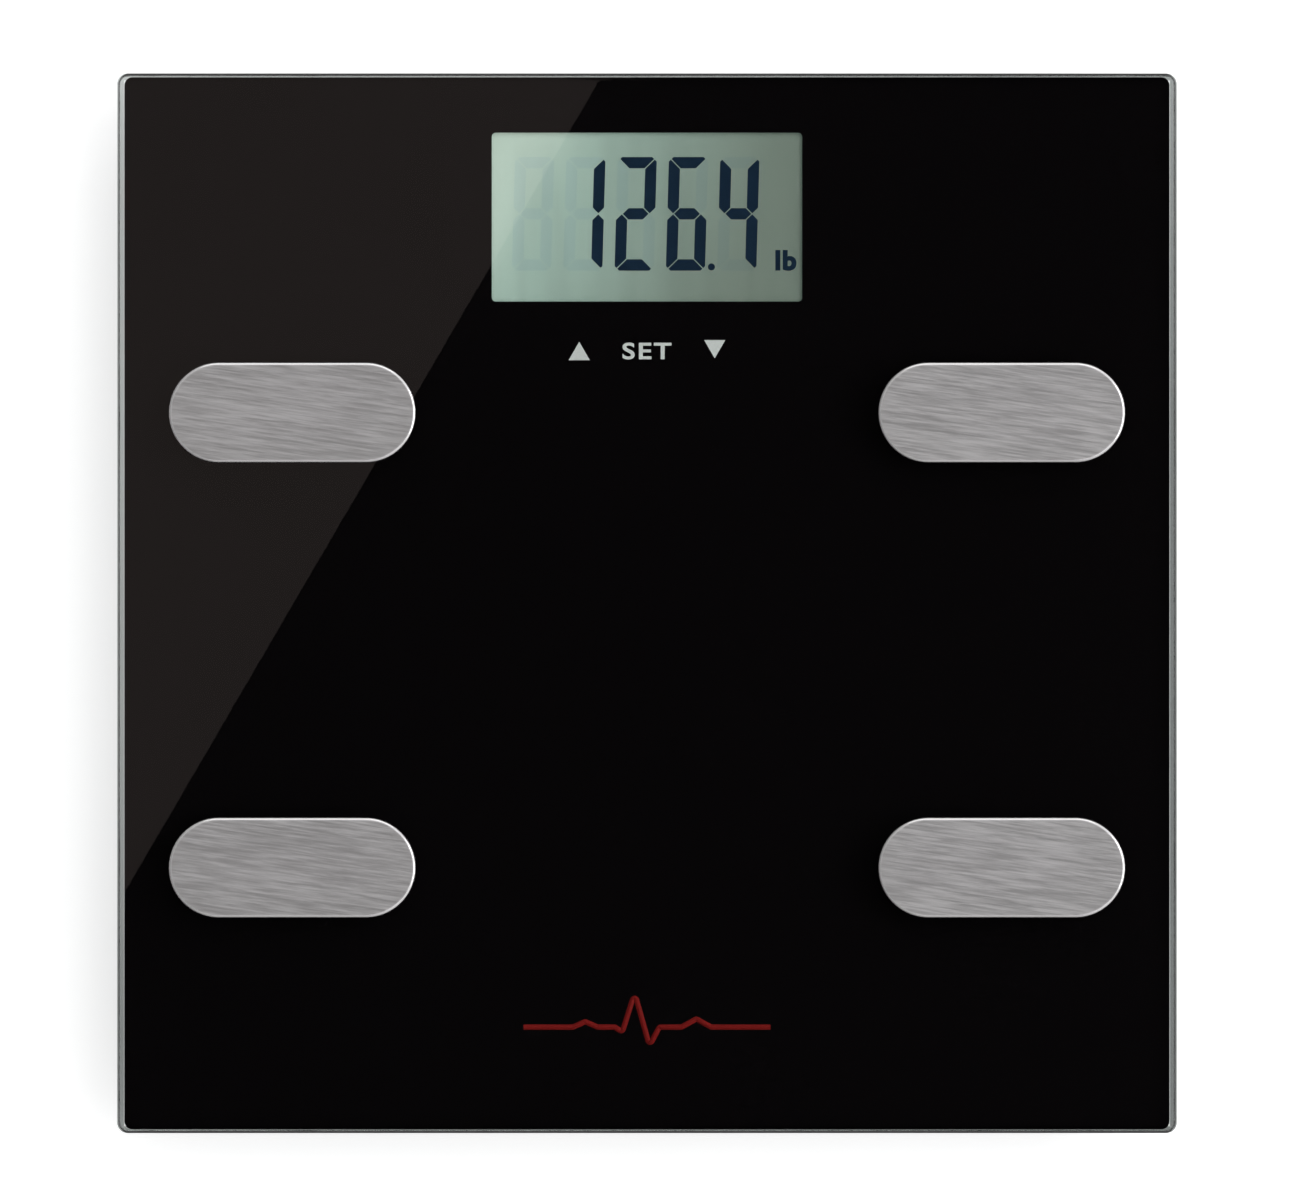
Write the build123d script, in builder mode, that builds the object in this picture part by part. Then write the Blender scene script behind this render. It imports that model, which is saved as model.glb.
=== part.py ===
"""Digital bathroom scale with body-fat electrodes: a glass platform on a plastic tray.

Load cells, display, board and battery bay sit inside the tray. Millimetres, +Z up, +Y to the display end,
origin on the floor under the middle.
"""

import os
from itertools import product

from build123d import *

os.makedirs("parts", exist_ok=True)

UP = (Align.CENTER, Align.CENTER, Align.MIN)
DOWN = (Align.CENTER, Align.CENTER, Align.MAX)

# ---------------------------------------------------------------- driving sizes
platform_width = 300.0
platform_depth = 300.0
platform_corner = 3.0
glass_thickness = 6.0
glass_arris = 0.7
film_side_margin = 1.9
film_end_margin = 1.2
film_thickness = 0.2
tape_thickness = 0.6
floor_gap = 4.0

# Display window and touch keys, measured from the rear edge of the glass
window_width = 88.0
window_height = 47.9
window_corner = 1.2
window_from_rear = 16.6
keys_from_rear = 78.5
key_pitch = 19.2

# Electrodes, measured from the edges of the glass
electrode_length = 70.0
electrode_width = 28.4
electrode_thickness = 1.2
electrode_round = 0.9
electrode_from_side = 14.6
rear_electrode_from_rear = 81.8
front_electrode_from_front = 61.0
adhesive_thickness = 0.2
stud_radius = 1.5
stud_hole_radius = 2.25
nut_height = 2.4
nut_flats = 5.5
nut_flange_radius = 3.4
nut_flange_height = 0.7
terminal_thickness = 0.6
terminal_radius = 3.6
crimp_radius = 1.1
crimp_length = 5.0

# Batteries and their bay
cell_count = 4
battery_radius = 5.25
battery_length = 44.5
nub_radius = 1.9
nub_length = 1.0
battery_pitch_gap = 0.7
contact_thickness = 0.4
contact_width = 9.4
spring_height = 4.4
coil_wire_radius = 0.3
bay_wall = 1.6
bay_roof = 1.0
bay_clearance = 0.2
door_thickness = 1.6
door_gap = 0.3
foam_thickness = 0.4

# Tray
tray_inset = 4.0
tray_draft = 8.0
tray_wall = 2.4
tray_floor = 2.0
tray_corner = 12.0
rim_width = 5.5
rim_height = 2.5
rib_thickness = 1.6
bottom_round = 1.2
tape_setback = 0.4

# Display stack, hung under the film
display_gap = 0.3
polariser_thickness = 0.2
lcd_glass_thickness = 1.1
lcd_margin = 2.2
lcd_ledge = 4.5
bezel_wall = 1.8
bezel_shelf = 2.05
bezel_fit = 0.25
zebra_width = 2.2
board_thickness = 1.6
board_front_zone = 15.8
board_rear_zone = 1.2
board_side_zone = 7.5
board_corner = 1.5
ear_radius = 4.0
ear_height = 2.0
post_radius = 3.5
board_screw_length = 8.0
touch_spring_radius = 3.8
touch_spring_wire = 0.25

# Unit button
unit_button_x = 30.0
unit_button_radius = 4.0
unit_button_flange = 5.4
unit_button_flange_height = 0.8
unit_button_travel = 0.6
unit_switch_side = 6.2
unit_switch_height = 3.4
plunger_radius = 1.75
slide_fit = 0.2

# Load cells, collars and feet
load_cell_side = 34.0
load_cell_thickness = 2.4
load_cell_fit = 0.6
tongue_width = 15.0
tongue_length = 23.0
tongue_slot = 2.5
foot_travel = 0.6
foot_radius = 19.0
foot_clearance = 1.0
foot_disc_bottom = 1.0
foot_disc_top = 5.6
foot_column_radius = 7.4
foot_round = 0.8
pin_radius = 1.5
pin_spacing = 8.0
pin_head_radius = 2.3
pin_head_height = 1.0
pin_fit = 0.1
pad_radius = 15.5
pad_inset = 1.0
pad_groove_radius = 11.0
pad_groove_width = 1.6
pad_groove_depth = 0.6
collar_plate = 1.8
collar_border = 5.0
collar_corner = 6.0
collar_screw_inset = 4.0
relief_headroom = 1.0
tower_wall = 3.0

# Screws
screw_radius = 1.2
screw_fit = 0.05
screw_head_radius = 2.3
cross_width = 0.6
cross_depth = 0.9

# Leads
lead_radius = 0.5
lead_pitch = 1.3
lead_lift = 0.05

# ---------------------------------------------------------------- levels and places that follow from them
tray_bottom = floor_gap
tray_floor_top = tray_bottom + tray_floor
door_top = tray_bottom + door_thickness
battery_bottom = door_top + foam_thickness
battery_z = battery_bottom + battery_radius
bay_ceiling = battery_z + battery_radius + bay_clearance
tray_top = bay_ceiling + bay_roof
film_bottom = tray_top + tape_thickness
glass_bottom = film_bottom + film_thickness
glass_top = glass_bottom + glass_thickness
electrode_bottom = glass_top + adhesive_thickness

polariser_top = film_bottom - display_gap
front_glass_top = polariser_top - polariser_thickness
rear_glass_top = front_glass_top - lcd_glass_thickness
reflector_top = rear_glass_top - lcd_glass_thickness
reflector_bottom = reflector_top - polariser_thickness
board_top = reflector_bottom - bezel_shelf - lead_lift
board_bottom = board_top - board_thickness
lead_z = board_top + lead_radius + lead_lift

relief_ceiling = lead_z + lead_radius + tape_thickness
load_cell_top = relief_ceiling - relief_headroom - foot_travel - pin_head_height
load_cell_bottom = load_cell_top - load_cell_thickness
collar_counterbore_top = foot_disc_top + foot_travel + 0.5
collar_pad_height = 0.6

pocket_half = load_cell_side / 2 + load_cell_fit
collar_half = max(
    foot_radius + foot_clearance + collar_border,
    pocket_half + screw_head_radius + pin_head_radius + 2.8,
)
collar_recess_half = collar_half + door_gap
block_half = collar_recess_half + rib_thickness + 0.4
tower_half = pocket_half + tower_wall
block_top = tray_bottom + collar_plate + 2.6

tray_half_x = platform_width / 2 - tray_inset
tray_half_y = platform_depth / 2 - tray_inset
foot_x = tray_half_x - tray_draft - bay_wall - 3.0 - block_half
foot_y = tray_half_y - tray_draft - bay_wall - 3.0 - block_half
corners = {
    "rear_left": (-foot_x, foot_y),
    "rear_right": (foot_x, foot_y),
    "front_left": (-foot_x, -foot_y),
    "front_right": (foot_x, -foot_y),
}

electrode_x = platform_width / 2 - electrode_from_side - electrode_length / 2
rear_electrode_y = platform_depth / 2 - rear_electrode_from_rear - electrode_width / 2
front_electrode_y = -platform_depth / 2 + front_electrode_from_front + electrode_width / 2
electrode_places = {
    "rear_left": (-electrode_x, rear_electrode_y),
    "rear_right": (electrode_x, rear_electrode_y),
    "front_left": (-electrode_x, front_electrode_y),
    "front_right": (electrode_x, front_electrode_y),
}

window_y = platform_depth / 2 - window_from_rear - window_height / 2
keys_y = platform_depth / 2 - keys_from_rear
lcd_half_x = window_width / 2 + lcd_margin
lcd_rear = window_y + window_height / 2 + lcd_margin
lcd_rear_glass_front = window_y - window_height / 2 - lcd_margin
lcd_front_glass_front = lcd_rear_glass_front - lcd_ledge
bezel_half_x = lcd_half_x + bezel_wall
bezel_rear = lcd_rear + bezel_wall
bezel_front = lcd_front_glass_front - bezel_wall
board_half_x = bezel_half_x + board_side_zone
board_rear = bezel_rear + board_rear_zone
board_front = bezel_front - board_front_zone
ear_x = bezel_half_x + ear_radius - 0.5
ear_ys = (bezel_front + ear_radius + 0.2, bezel_rear - ear_radius - 0.2)
screw_places = [(sx * ear_x, y) for sx, y in product((-1, 1), ear_ys)]
unit_button_y = board_front + 8.5

battery_pitch = 2 * battery_radius + battery_pitch_gap
battery_ys = [(i - (cell_count - 1) / 2) * battery_pitch for i in range(cell_count)]
bay_half_x = (battery_length + spring_height) / 2 + contact_thickness
bay_half_y = cell_count * battery_pitch / 2
bay_outer_x = bay_half_x + bay_wall
bay_outer_y = bay_half_y + bay_wall
door_half_x = bay_outer_x
door_half_y = bay_outer_y


def save(piece, node):
    """Label a finished piece and write it to its own STEP file."""
    piece.part.label = node
    export_step(piece.part, f"parts/{node}.step")


# ---------------------------------------------------------------- glass platform, film and tape
with BuildPart() as glass_platform:
    with BuildSketch(Plane.XY.offset(glass_bottom)):
        RectangleRounded(platform_width, platform_depth, platform_corner)
    extrude(amount=glass_thickness)
    chamfer(glass_platform.faces().filter_by(Axis.Z).edges(), glass_arris)
    with Locations([(x, y, glass_bottom) for x, y in electrode_places.values()]):
        Cylinder(stud_hole_radius, glass_thickness, align=UP, mode=Mode.SUBTRACT)
save(glass_platform, "glass_platform")

with BuildPart() as back_film:
    with BuildSketch(Plane.XY.offset(film_bottom)):
        RectangleRounded(
            platform_width - 2 * film_side_margin,
            platform_depth - 2 * film_end_margin,
            platform_corner - glass_arris,
        )
        with Locations((0, window_y)):
            RectangleRounded(window_width, window_height, window_corner, mode=Mode.SUBTRACT)
        with Locations(*electrode_places.values()):
            Circle(stud_hole_radius, mode=Mode.SUBTRACT)
    extrude(amount=film_thickness)
save(back_film, "back_film")

with BuildPart() as bonding_tape:
    with BuildSketch(Plane.XY.offset(tray_top)):
        RectangleRounded(
            2 * (tray_half_x - tape_setback),
            2 * (tray_half_y - tape_setback),
            tray_corner,
        )
        RectangleRounded(
            2 * (tray_half_x - rim_width + tape_setback),
            2 * (tray_half_y - rim_width + tape_setback),
            tray_corner - rim_width + tape_setback,
            mode=Mode.SUBTRACT,
        )
        with Locations(*corners.values()):
            RectangleRounded(2 * tower_half - 4, 2 * tower_half - 4, 2)
    extrude(amount=tape_thickness)
save(bonding_tape, "bonding_tape")


# ---------------------------------------------------------------- electrodes and their fixings
def make_electrode(x, y):
    """Stainless plate with rounded rim, and the threaded stud that goes down through the glass."""
    stud_length = electrode_bottom - film_bottom + terminal_thickness + nut_height + 0.8
    with BuildPart() as electrode:
        with BuildSketch(Plane((x, y, electrode_bottom))):
            SlotOverall(electrode_length, electrode_width)
        extrude(amount=electrode_thickness)
        fillet(electrode.faces().sort_by(Axis.Z)[-1].edges(), electrode_round)
        with Locations((x, y, electrode_bottom)):
            Cylinder(stud_radius, stud_length, align=DOWN)
    return electrode


for corner, (x, y) in electrode_places.items():
    save(make_electrode(x, y), f"electrode_{corner}")

with BuildPart() as electrode_adhesive:
    with BuildSketch(Plane.XY.offset(glass_top)):
        with Locations(*electrode_places.values()):
            SlotOverall(electrode_length - 2, electrode_width - 2)
            Circle(stud_hole_radius, mode=Mode.SUBTRACT)
    extrude(amount=adhesive_thickness)
save(electrode_adhesive, "electrode_adhesive_pads")

terminal_bottom = film_bottom - terminal_thickness
with BuildPart() as ring_terminals:
    for x, y in electrode_places.values():
        inward = -1 if x > 0 else 1
        with BuildSketch(Plane((x, y, terminal_bottom))):
            Circle(terminal_radius)
            with Locations((inward * terminal_radius, 0)):
                Rectangle(terminal_radius, 2 * crimp_radius)
            Circle(stud_radius + screw_fit, mode=Mode.SUBTRACT)
        extrude(amount=terminal_thickness)
        crimp_x = x + inward * (1.5 * terminal_radius + crimp_length / 2)
        crimp_z = film_bottom - crimp_radius
        with Locations(Location((crimp_x, y, crimp_z), (0, 90, 0))):
            Cylinder(crimp_radius, crimp_length)
save(ring_terminals, "electrode_ring_terminals")

with BuildPart() as electrode_nuts:
    for x, y in electrode_places.values():
        with BuildSketch(Plane((x, y, terminal_bottom))):
            Circle(nut_flange_radius)
            Circle(stud_radius + screw_fit, mode=Mode.SUBTRACT)
        extrude(amount=-nut_flange_height)
        with BuildSketch(Plane((x, y, terminal_bottom - nut_flange_height))):
            RegularPolygon(nut_flats / 2, 6, major_radius=False)
            Circle(stud_radius + screw_fit, mode=Mode.SUBTRACT)
        extrude(amount=nut_flange_height - nut_height)
save(electrode_nuts, "electrode_nuts")

# ---------------------------------------------------------------- display
polariser_size = (window_width + lcd_margin, window_height + lcd_margin)

with BuildPart() as lcd_polariser:
    with Locations((0, window_y, front_glass_top)):
        Box(*polariser_size, polariser_thickness, align=UP)
save(lcd_polariser, "lcd_polariser")

front_glass_depth = lcd_rear - lcd_front_glass_front
rear_glass_depth = lcd_rear - lcd_rear_glass_front
with BuildPart() as lcd_panel:
    with Locations((0, lcd_rear - front_glass_depth / 2, rear_glass_top)):
        Box(2 * lcd_half_x, front_glass_depth, lcd_glass_thickness, align=UP)
    with Locations((0, lcd_rear - rear_glass_depth / 2, reflector_top)):
        Box(2 * lcd_half_x, rear_glass_depth, lcd_glass_thickness, align=UP)
save(lcd_panel, "lcd_panel")

with BuildPart() as lcd_reflector:
    with Locations((0, window_y, reflector_bottom)):
        Box(*polariser_size, polariser_thickness, align=UP)
save(lcd_reflector, "lcd_reflector")

zebra_y = (lcd_front_glass_front + lcd_rear_glass_front) / 2
zebra_half_x = lcd_half_x - 4.0
with BuildPart() as zebra_strip:
    with Locations((0, zebra_y, board_top)):
        Box(2 * zebra_half_x, zebra_width, rear_glass_top - board_top, align=UP)
save(zebra_strip, "zebra_strip")

bezel_depth = bezel_rear - bezel_front
with BuildPart() as lcd_bezel:
    with BuildSketch(Plane((0, bezel_front + bezel_depth / 2, board_top))):
        RectangleRounded(2 * bezel_half_x, bezel_depth, 1.0)
    extrude(amount=polariser_top - board_top)
    with BuildSketch(Plane.XY.offset(board_top)):
        for x, y in screw_places:
            inward = -1 if x > 0 else 1
            with Locations((x, y)):
                Circle(ear_radius)
            with Locations((x + inward * ear_radius, y)):
                Rectangle(2 * ear_radius, 2 * ear_radius)
    extrude(amount=ear_height)
    with Locations((0, lcd_rear - front_glass_depth / 2, rear_glass_top - bezel_fit)):
        Box(
            2 * (lcd_half_x + bezel_fit),
            front_glass_depth + 2 * bezel_fit,
            polariser_top,
            align=UP,
            mode=Mode.SUBTRACT,
        )
    with Locations((0, lcd_rear - rear_glass_depth / 2, reflector_bottom)):
        Box(
            2 * (lcd_half_x + bezel_fit),
            rear_glass_depth + 2 * bezel_fit,
            polariser_top,
            align=UP,
            mode=Mode.SUBTRACT,
        )
    with Locations((0, window_y, board_top)):
        Box(window_width - 8, window_height - 8, polariser_top, align=UP, mode=Mode.SUBTRACT)
    with Locations((0, zebra_y, board_top)):
        Box(
            2 * (zebra_half_x + bezel_fit),
            zebra_width + 2 * slide_fit,
            polariser_top,
            align=UP,
            mode=Mode.SUBTRACT,
        )
    with Locations([(x, y, board_top) for x, y in screw_places]):
        Cylinder(screw_radius + 0.2, ear_height, align=UP, mode=Mode.SUBTRACT)
save(lcd_bezel, "lcd_bezel")

# ---------------------------------------------------------------- board and what is on it
board_depth = board_rear - board_front
board_y = (board_rear + board_front) / 2
with BuildPart() as main_board:
    with BuildSketch(Plane((0, board_y, board_bottom))):
        RectangleRounded(2 * board_half_x, board_depth, board_corner)
    extrude(amount=board_thickness)
    with Locations([(x, y, board_bottom) for x, y in screw_places]):
        Cylinder(screw_radius + 0.3, board_thickness, align=UP, mode=Mode.SUBTRACT)
save(main_board, "main_board")


def make_coil(wire_radius, base_radius, tip_radius, turns, height, plane):
    """Coil spring of round wire that stands on a plane, wound from base_radius to tip_radius."""
    rise = height - 2 * wire_radius
    cone = 0 if base_radius == tip_radius else degrees_of_cone(base_radius, tip_radius, rise)
    with BuildPart() as coil:
        with BuildLine() as centre_line:
            Helix(rise / turns, rise, base_radius, center=(0, 0, wire_radius), cone_angle=cone)
        with BuildSketch(Plane(centre_line.line @ 0, z_dir=centre_line.line % 0)):
            Circle(wire_radius)
        sweep(path=centre_line.line, is_frenet=True)
    return coil.part.moved(plane.location)


def degrees_of_cone(base_radius, tip_radius, rise):
    """Half angle of the cone that a coil narrows along. A helix takes it as negative where it narrows."""
    return -Vector(rise, base_radius - tip_radius).get_angle(Vector(1, 0))


touch_keys = {"up": -key_pitch, "set": 0.0, "down": key_pitch}
for key, x in touch_keys.items():
    with BuildPart() as touch_spring:
        add(
            make_coil(
                touch_spring_wire,
                touch_spring_radius,
                touch_spring_radius,
                4,
                film_bottom - board_top - 2 * lead_lift,
                Plane((x, keys_y, board_top + lead_lift)),
            )
        )
    save(touch_spring, f"touch_spring_{key}")

blob_radius = 9.0
blob_height = 1.8
with BuildPart() as controller_blob:
    with Locations((0, window_y, board_bottom)):
        Cylinder(blob_radius, blob_height, align=DOWN)
    fillet(controller_blob.edges().filter_by(GeomType.CIRCLE).sort_by(Axis.Z)[0], blob_height * 0.8)
save(controller_blob, "controller_blob")

component_size = (2.0, 1.25, 0.6)
component_columns = 6
with BuildPart() as board_components:
    with GridLocations(5.0, 4.0, component_columns, 2):
        with Locations((-20, window_y - 16, board_bottom)):
            Box(*component_size, align=DOWN)
    with Locations((24, window_y + 10, board_bottom), (24, window_y - 6, board_bottom)):
        Box(5.0, 4.0, 1.5, align=DOWN)
save(board_components, "board_components")

capacitor_radius = 2.5
capacitor_height = 4.4
with BuildPart() as capacitor:
    with Locations((-26, keys_y, board_bottom)):
        Cylinder(capacitor_radius, capacitor_height, align=DOWN)
    fillet(capacitor.edges().filter_by(GeomType.CIRCLE).sort_by(Axis.Z)[0], 0.4)
save(capacitor, "capacitor")

with BuildPart() as crystal:
    with BuildSketch(Plane((-6, keys_y, board_bottom))):
        SlotOverall(11.0, 4.6)
    extrude(amount=-0.5)
    with BuildSketch(Plane((-6, keys_y, board_bottom - 0.5))):
        SlotOverall(10.2, 3.8)
    extrude(amount=-3.0)
save(crystal, "crystal")

# ---------------------------------------------------------------- unit switch and button
switch_bottom = board_bottom - unit_switch_height
button_flange_bottom = tray_floor_top + door_gap
button_flange_top = button_flange_bottom + unit_button_flange_height
with BuildPart() as unit_switch:
    with BuildSketch(Plane((unit_button_x, unit_button_y, board_bottom))):
        RectangleRounded(unit_switch_side, unit_switch_side, 0.5)
    extrude(amount=-unit_switch_height)
    with Locations((unit_button_x, unit_button_y, switch_bottom)):
        Cylinder(
            plunger_radius + slide_fit,
            2 * unit_button_travel + 0.6,
            align=UP,
            mode=Mode.SUBTRACT,
        )
save(unit_switch, "unit_switch")

with BuildPart() as unit_plunger:
    with Locations((unit_button_x, unit_button_y, button_flange_top)):
        Cylinder(plunger_radius, switch_bottom + 0.5 - button_flange_top, align=UP)
save(unit_plunger, "unit_switch_plunger")

with BuildPart() as unit_button:
    with Locations((unit_button_x, unit_button_y, tray_bottom + door_gap)):
        Cylinder(unit_button_radius, button_flange_top - tray_bottom - door_gap, align=UP)
    fillet(unit_button.edges().filter_by(GeomType.CIRCLE).sort_by(Axis.Z)[0], 0.5)
    with Locations((unit_button_x, unit_button_y, button_flange_bottom)):
        Cylinder(unit_button_flange, unit_button_flange_height, align=UP)
save(unit_button, "unit_button")

# ---------------------------------------------------------------- load cells, feet and collars
tongue_inner_edge = -load_cell_side / 2 + 5.5


def make_load_cell(x, y):
    """Steel plate with a tongue, free on three sides, that joins the frame on the side near the middle."""
    outward = 1 if x > 0 else -1
    tongue_x = x + outward * (tongue_inner_edge + tongue_length / 2)
    root_x = tongue_x - outward * tongue_length / 2
    with BuildPart() as load_cell:
        with BuildSketch(Plane.XY.offset(load_cell_bottom)):
            with Locations((x, y)):
                RectangleRounded(load_cell_side, load_cell_side, 2.0)
            with Locations((tongue_x + outward * tongue_slot / 2, y)):
                Rectangle(
                    tongue_length + tongue_slot,
                    tongue_width + 2 * tongue_slot,
                    mode=Mode.SUBTRACT,
                )
            with Locations((tongue_x, y)):
                Rectangle(tongue_length, tongue_width)
            relief_x = root_x + outward * tongue_slot
            with Locations([(relief_x, y + side * tongue_width / 2) for side in (-1, 1)]):
                Circle(2.0, mode=Mode.SUBTRACT)
            with Locations((x, y - pin_spacing / 2), (x, y + pin_spacing / 2)):
                Circle(pin_radius + pin_fit, mode=Mode.SUBTRACT)
        extrude(amount=load_cell_thickness)
    return load_cell


def make_foot(x, y):
    """Plastic foot: disc, column up to the load cell's tongue, and two pins staked over above it."""
    pins = [(x, y - pin_spacing / 2), (x, y + pin_spacing / 2)]
    with BuildPart() as foot:
        with Locations((x, y, foot_disc_bottom)):
            Cylinder(foot_radius, foot_disc_top - foot_disc_bottom, align=UP)
        fillet(foot.edges().filter_by(GeomType.CIRCLE).sort_by(Axis.Z)[0], foot_round)
        with Locations((x, y, foot_disc_bottom)):
            Cylinder(pad_radius + slide_fit, pad_inset, align=UP, mode=Mode.SUBTRACT)
        with Locations((x, y, foot_disc_top)):
            Cylinder(foot_column_radius, load_cell_bottom - foot_disc_top, align=UP)
        with Locations([(*p, load_cell_bottom) for p in pins]):
            Cylinder(pin_radius, load_cell_thickness, align=UP)
        with Locations([(*p, load_cell_top) for p in pins]):
            Cylinder(pin_head_radius, pin_head_height, align=UP)
    return foot


def make_foot_pad(x, y):
    """Rubber disc in the foot's recess, with one ring groove in its tread."""
    with BuildPart() as foot_pad:
        with Locations((x, y, 0)):
            Cylinder(pad_radius, foot_disc_bottom + pad_inset, align=UP)
        fillet(foot_pad.edges().filter_by(GeomType.CIRCLE).sort_by(Axis.Z)[0], 0.5)
        with BuildSketch(Plane((x, y, 0))):
            Circle(pad_groove_radius + pad_groove_width)
            Circle(pad_groove_radius, mode=Mode.SUBTRACT)
        extrude(amount=pad_groove_depth, mode=Mode.SUBTRACT)
    return foot_pad


def make_collar(x, y):
    """Collar that holds the load cell up in its pocket and surrounds the foot."""
    frame_pad = load_cell_side / 2 - 2.5
    with BuildPart() as collar:
        with BuildSketch(Plane((x, y, tray_bottom))):
            RectangleRounded(2 * collar_half, 2 * collar_half, collar_corner)
        extrude(amount=collar_plate)
        with BuildSketch(Plane((x, y, tray_bottom + collar_plate))):
            RectangleRounded(2 * pocket_half - 0.6, 2 * pocket_half - 0.6, 1.5)
        extrude(amount=load_cell_bottom - collar_pad_height - tray_bottom - collar_plate)
        with BuildSketch(Plane((x, y, load_cell_bottom - collar_pad_height))):
            with GridLocations(2 * frame_pad, 2 * frame_pad, 2, 2):
                Rectangle(4.0, 4.0)
        extrude(amount=collar_pad_height)
        with Locations((x, y, tray_bottom)):
            Cylinder(
                foot_radius + foot_clearance,
                collar_counterbore_top - tray_bottom,
                align=UP,
                mode=Mode.SUBTRACT,
            )
            Cylinder(
                foot_column_radius + foot_clearance,
                load_cell_top - tray_bottom,
                align=UP,
                mode=Mode.SUBTRACT,
            )
        with Locations([Location((*p, tray_bottom), (180, 0, 0)) for p in collar_screw_places(x, y)]):
            CounterSinkHole(screw_radius + 0.2, screw_head_radius + 0.2, counter_sink_angle=90)
    return collar


def collar_screw_places(x, y):
    """The four corners of a collar where its screws go."""
    reach = collar_half - collar_screw_inset
    return [(x + sx * reach, y + sy * reach) for sx, sy in product((-1, 1), repeat=2)]


for corner, (x, y) in corners.items():
    save(make_load_cell(x, y), f"load_cell_{corner}")
    save(make_foot(x, y), f"foot_{corner}")
    save(make_foot_pad(x, y), f"foot_pad_{corner}")

with BuildPart() as foot_collars:
    for x, y in corners.values():
        add(make_collar(x, y).part)
save(foot_collars, "foot_collars")

gauge_size = (5.0, 9.0)
gauge_top = lead_z + lead_radius
with BuildPart() as strain_gauges:
    for x, y in corners.values():
        outward = 1 if x > 0 else -1
        gauge_x = x + outward * (tongue_inner_edge + 1.0)
        with BuildSketch(Plane((gauge_x, y, load_cell_top))):
            RectangleRounded(*gauge_size, 1.5)
        extrude(amount=gauge_top - load_cell_top, taper=8)
save(strain_gauges, "strain_gauges")

# ---------------------------------------------------------------- screws
collar_screw_length = 7.0
cross_size = (3.0, cross_width, cross_depth)


def cut_cross(places, z, align):
    """Cross recess in screw heads at these places."""
    with Locations([(*p, z) for p in places]):
        Box(*cross_size, align=align, mode=Mode.SUBTRACT)
        Box(*cross_size, rotation=(0, 0, 90), align=align, mode=Mode.SUBTRACT)


all_collar_screws = [p for x, y in corners.values() for p in collar_screw_places(x, y)]
with BuildPart() as collar_screws:
    with Locations([(*p, tray_bottom) for p in all_collar_screws]):
        Cylinder(screw_radius, collar_screw_length, align=UP)
        head_height = screw_head_radius - screw_radius
        Cone(screw_head_radius, screw_radius, head_height, align=UP)
    cut_cross(all_collar_screws, tray_bottom, UP)
save(collar_screws, "collar_screws")

board_screw_seat = board_top + ear_height
board_head_height = 1.7
with BuildPart() as board_screws:
    with Locations([(*p, board_screw_seat) for p in screw_places]):
        Cylinder(screw_head_radius, board_head_height, align=UP)
        Cylinder(screw_radius, board_screw_length, align=DOWN)
    fillet(board_screws.edges().filter_by(GeomType.CIRCLE).group_by(Axis.Z)[-1], 0.5)
    cut_cross(screw_places, board_screw_seat + board_head_height, DOWN)
save(board_screws, "board_screws")

# ---------------------------------------------------------------- batteries and contacts
battery_sides = [1 if i % 2 else -1 for i in range(cell_count)]


def make_battery(y, positive):
    """AAA cell along X. positive is the side its nub points to: 1 for +X."""
    nub_face = positive * (bay_half_x - contact_thickness)
    can_end = nub_face - positive * nub_length
    flat_end = nub_face - positive * battery_length
    with BuildPart() as battery:
        with BuildSketch(Plane((0, y, battery_z), z_dir=(1, 0, 0)).offset(min(can_end, flat_end))):
            Circle(battery_radius)
        extrude(amount=abs(can_end - flat_end))
        fillet(battery.edges().filter_by(GeomType.CIRCLE), 0.5)
        with BuildSketch(Plane((0, y, battery_z), z_dir=(1, 0, 0)).offset(min(can_end, nub_face))):
            Circle(nub_radius)
        extrude(amount=nub_length)
    return battery


for i, y in enumerate(battery_ys):
    save(make_battery(y, battery_sides[i]), f"battery_{i + 1}")

contact_height = 2 * battery_radius - 1.2
lug_width = 3.0
lug_reach = 3.2


def add_contact_plate(side, y_low, y_high):
    """Flat contact against an end wall of the bay, as high as the cells."""
    x = side * (bay_half_x - contact_thickness / 2)
    with Locations((x, (y_low + y_high) / 2, battery_z)):
        Box(contact_thickness, y_high - y_low, contact_height)


def add_lug(side, y):
    """Solder lug through the wall of the bay, just under the leads."""
    reach = bay_wall + lug_reach + contact_thickness
    x = side * (bay_half_x - contact_thickness + reach / 2)
    with Locations((x, y, board_top - contact_thickness)):
        Box(reach, lug_width, contact_thickness, align=UP)


def contact_coil(side, y):
    """Conical spring between an end contact and the flat end of a cell."""
    foot_of_coil = side * (bay_half_x - contact_thickness - lead_lift)
    plane = Plane((foot_of_coil, y, battery_z), z_dir=(-side, 0, 0))
    coil_height = spring_height - 2 * lead_lift
    return make_coil(coil_wire_radius, contact_width / 2 - 1.1, 2.4, 3, coil_height, plane)


half_width = contact_width / 2
with BuildPart() as terminal_negative:
    add_contact_plate(1, battery_ys[0] - half_width, battery_ys[0] + half_width)
    add_lug(1, battery_ys[0])
    add(contact_coil(1, battery_ys[0]))
save(terminal_negative, "battery_terminal_negative")

with BuildPart() as terminal_positive:
    add_contact_plate(1, battery_ys[-1] - half_width, battery_ys[-1] + half_width)
    add_lug(1, battery_ys[-1])
save(terminal_positive, "battery_terminal_positive")

# A link joins the nub of one cell to the spring under the flat end of its neighbour.
links = {"left_front": (-1, 0, 1), "right_middle": (1, 1, 2), "left_rear": (-1, 2, 3)}
for place, (side, a, b) in links.items():
    sprung = next(i for i in (a, b) if battery_sides[i] != side)
    with BuildPart() as battery_link:
        add_contact_plate(side, battery_ys[a] - half_width, battery_ys[b] + half_width)
        add(contact_coil(side, battery_ys[sprung]))
    save(battery_link, f"battery_link_{place}")

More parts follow.
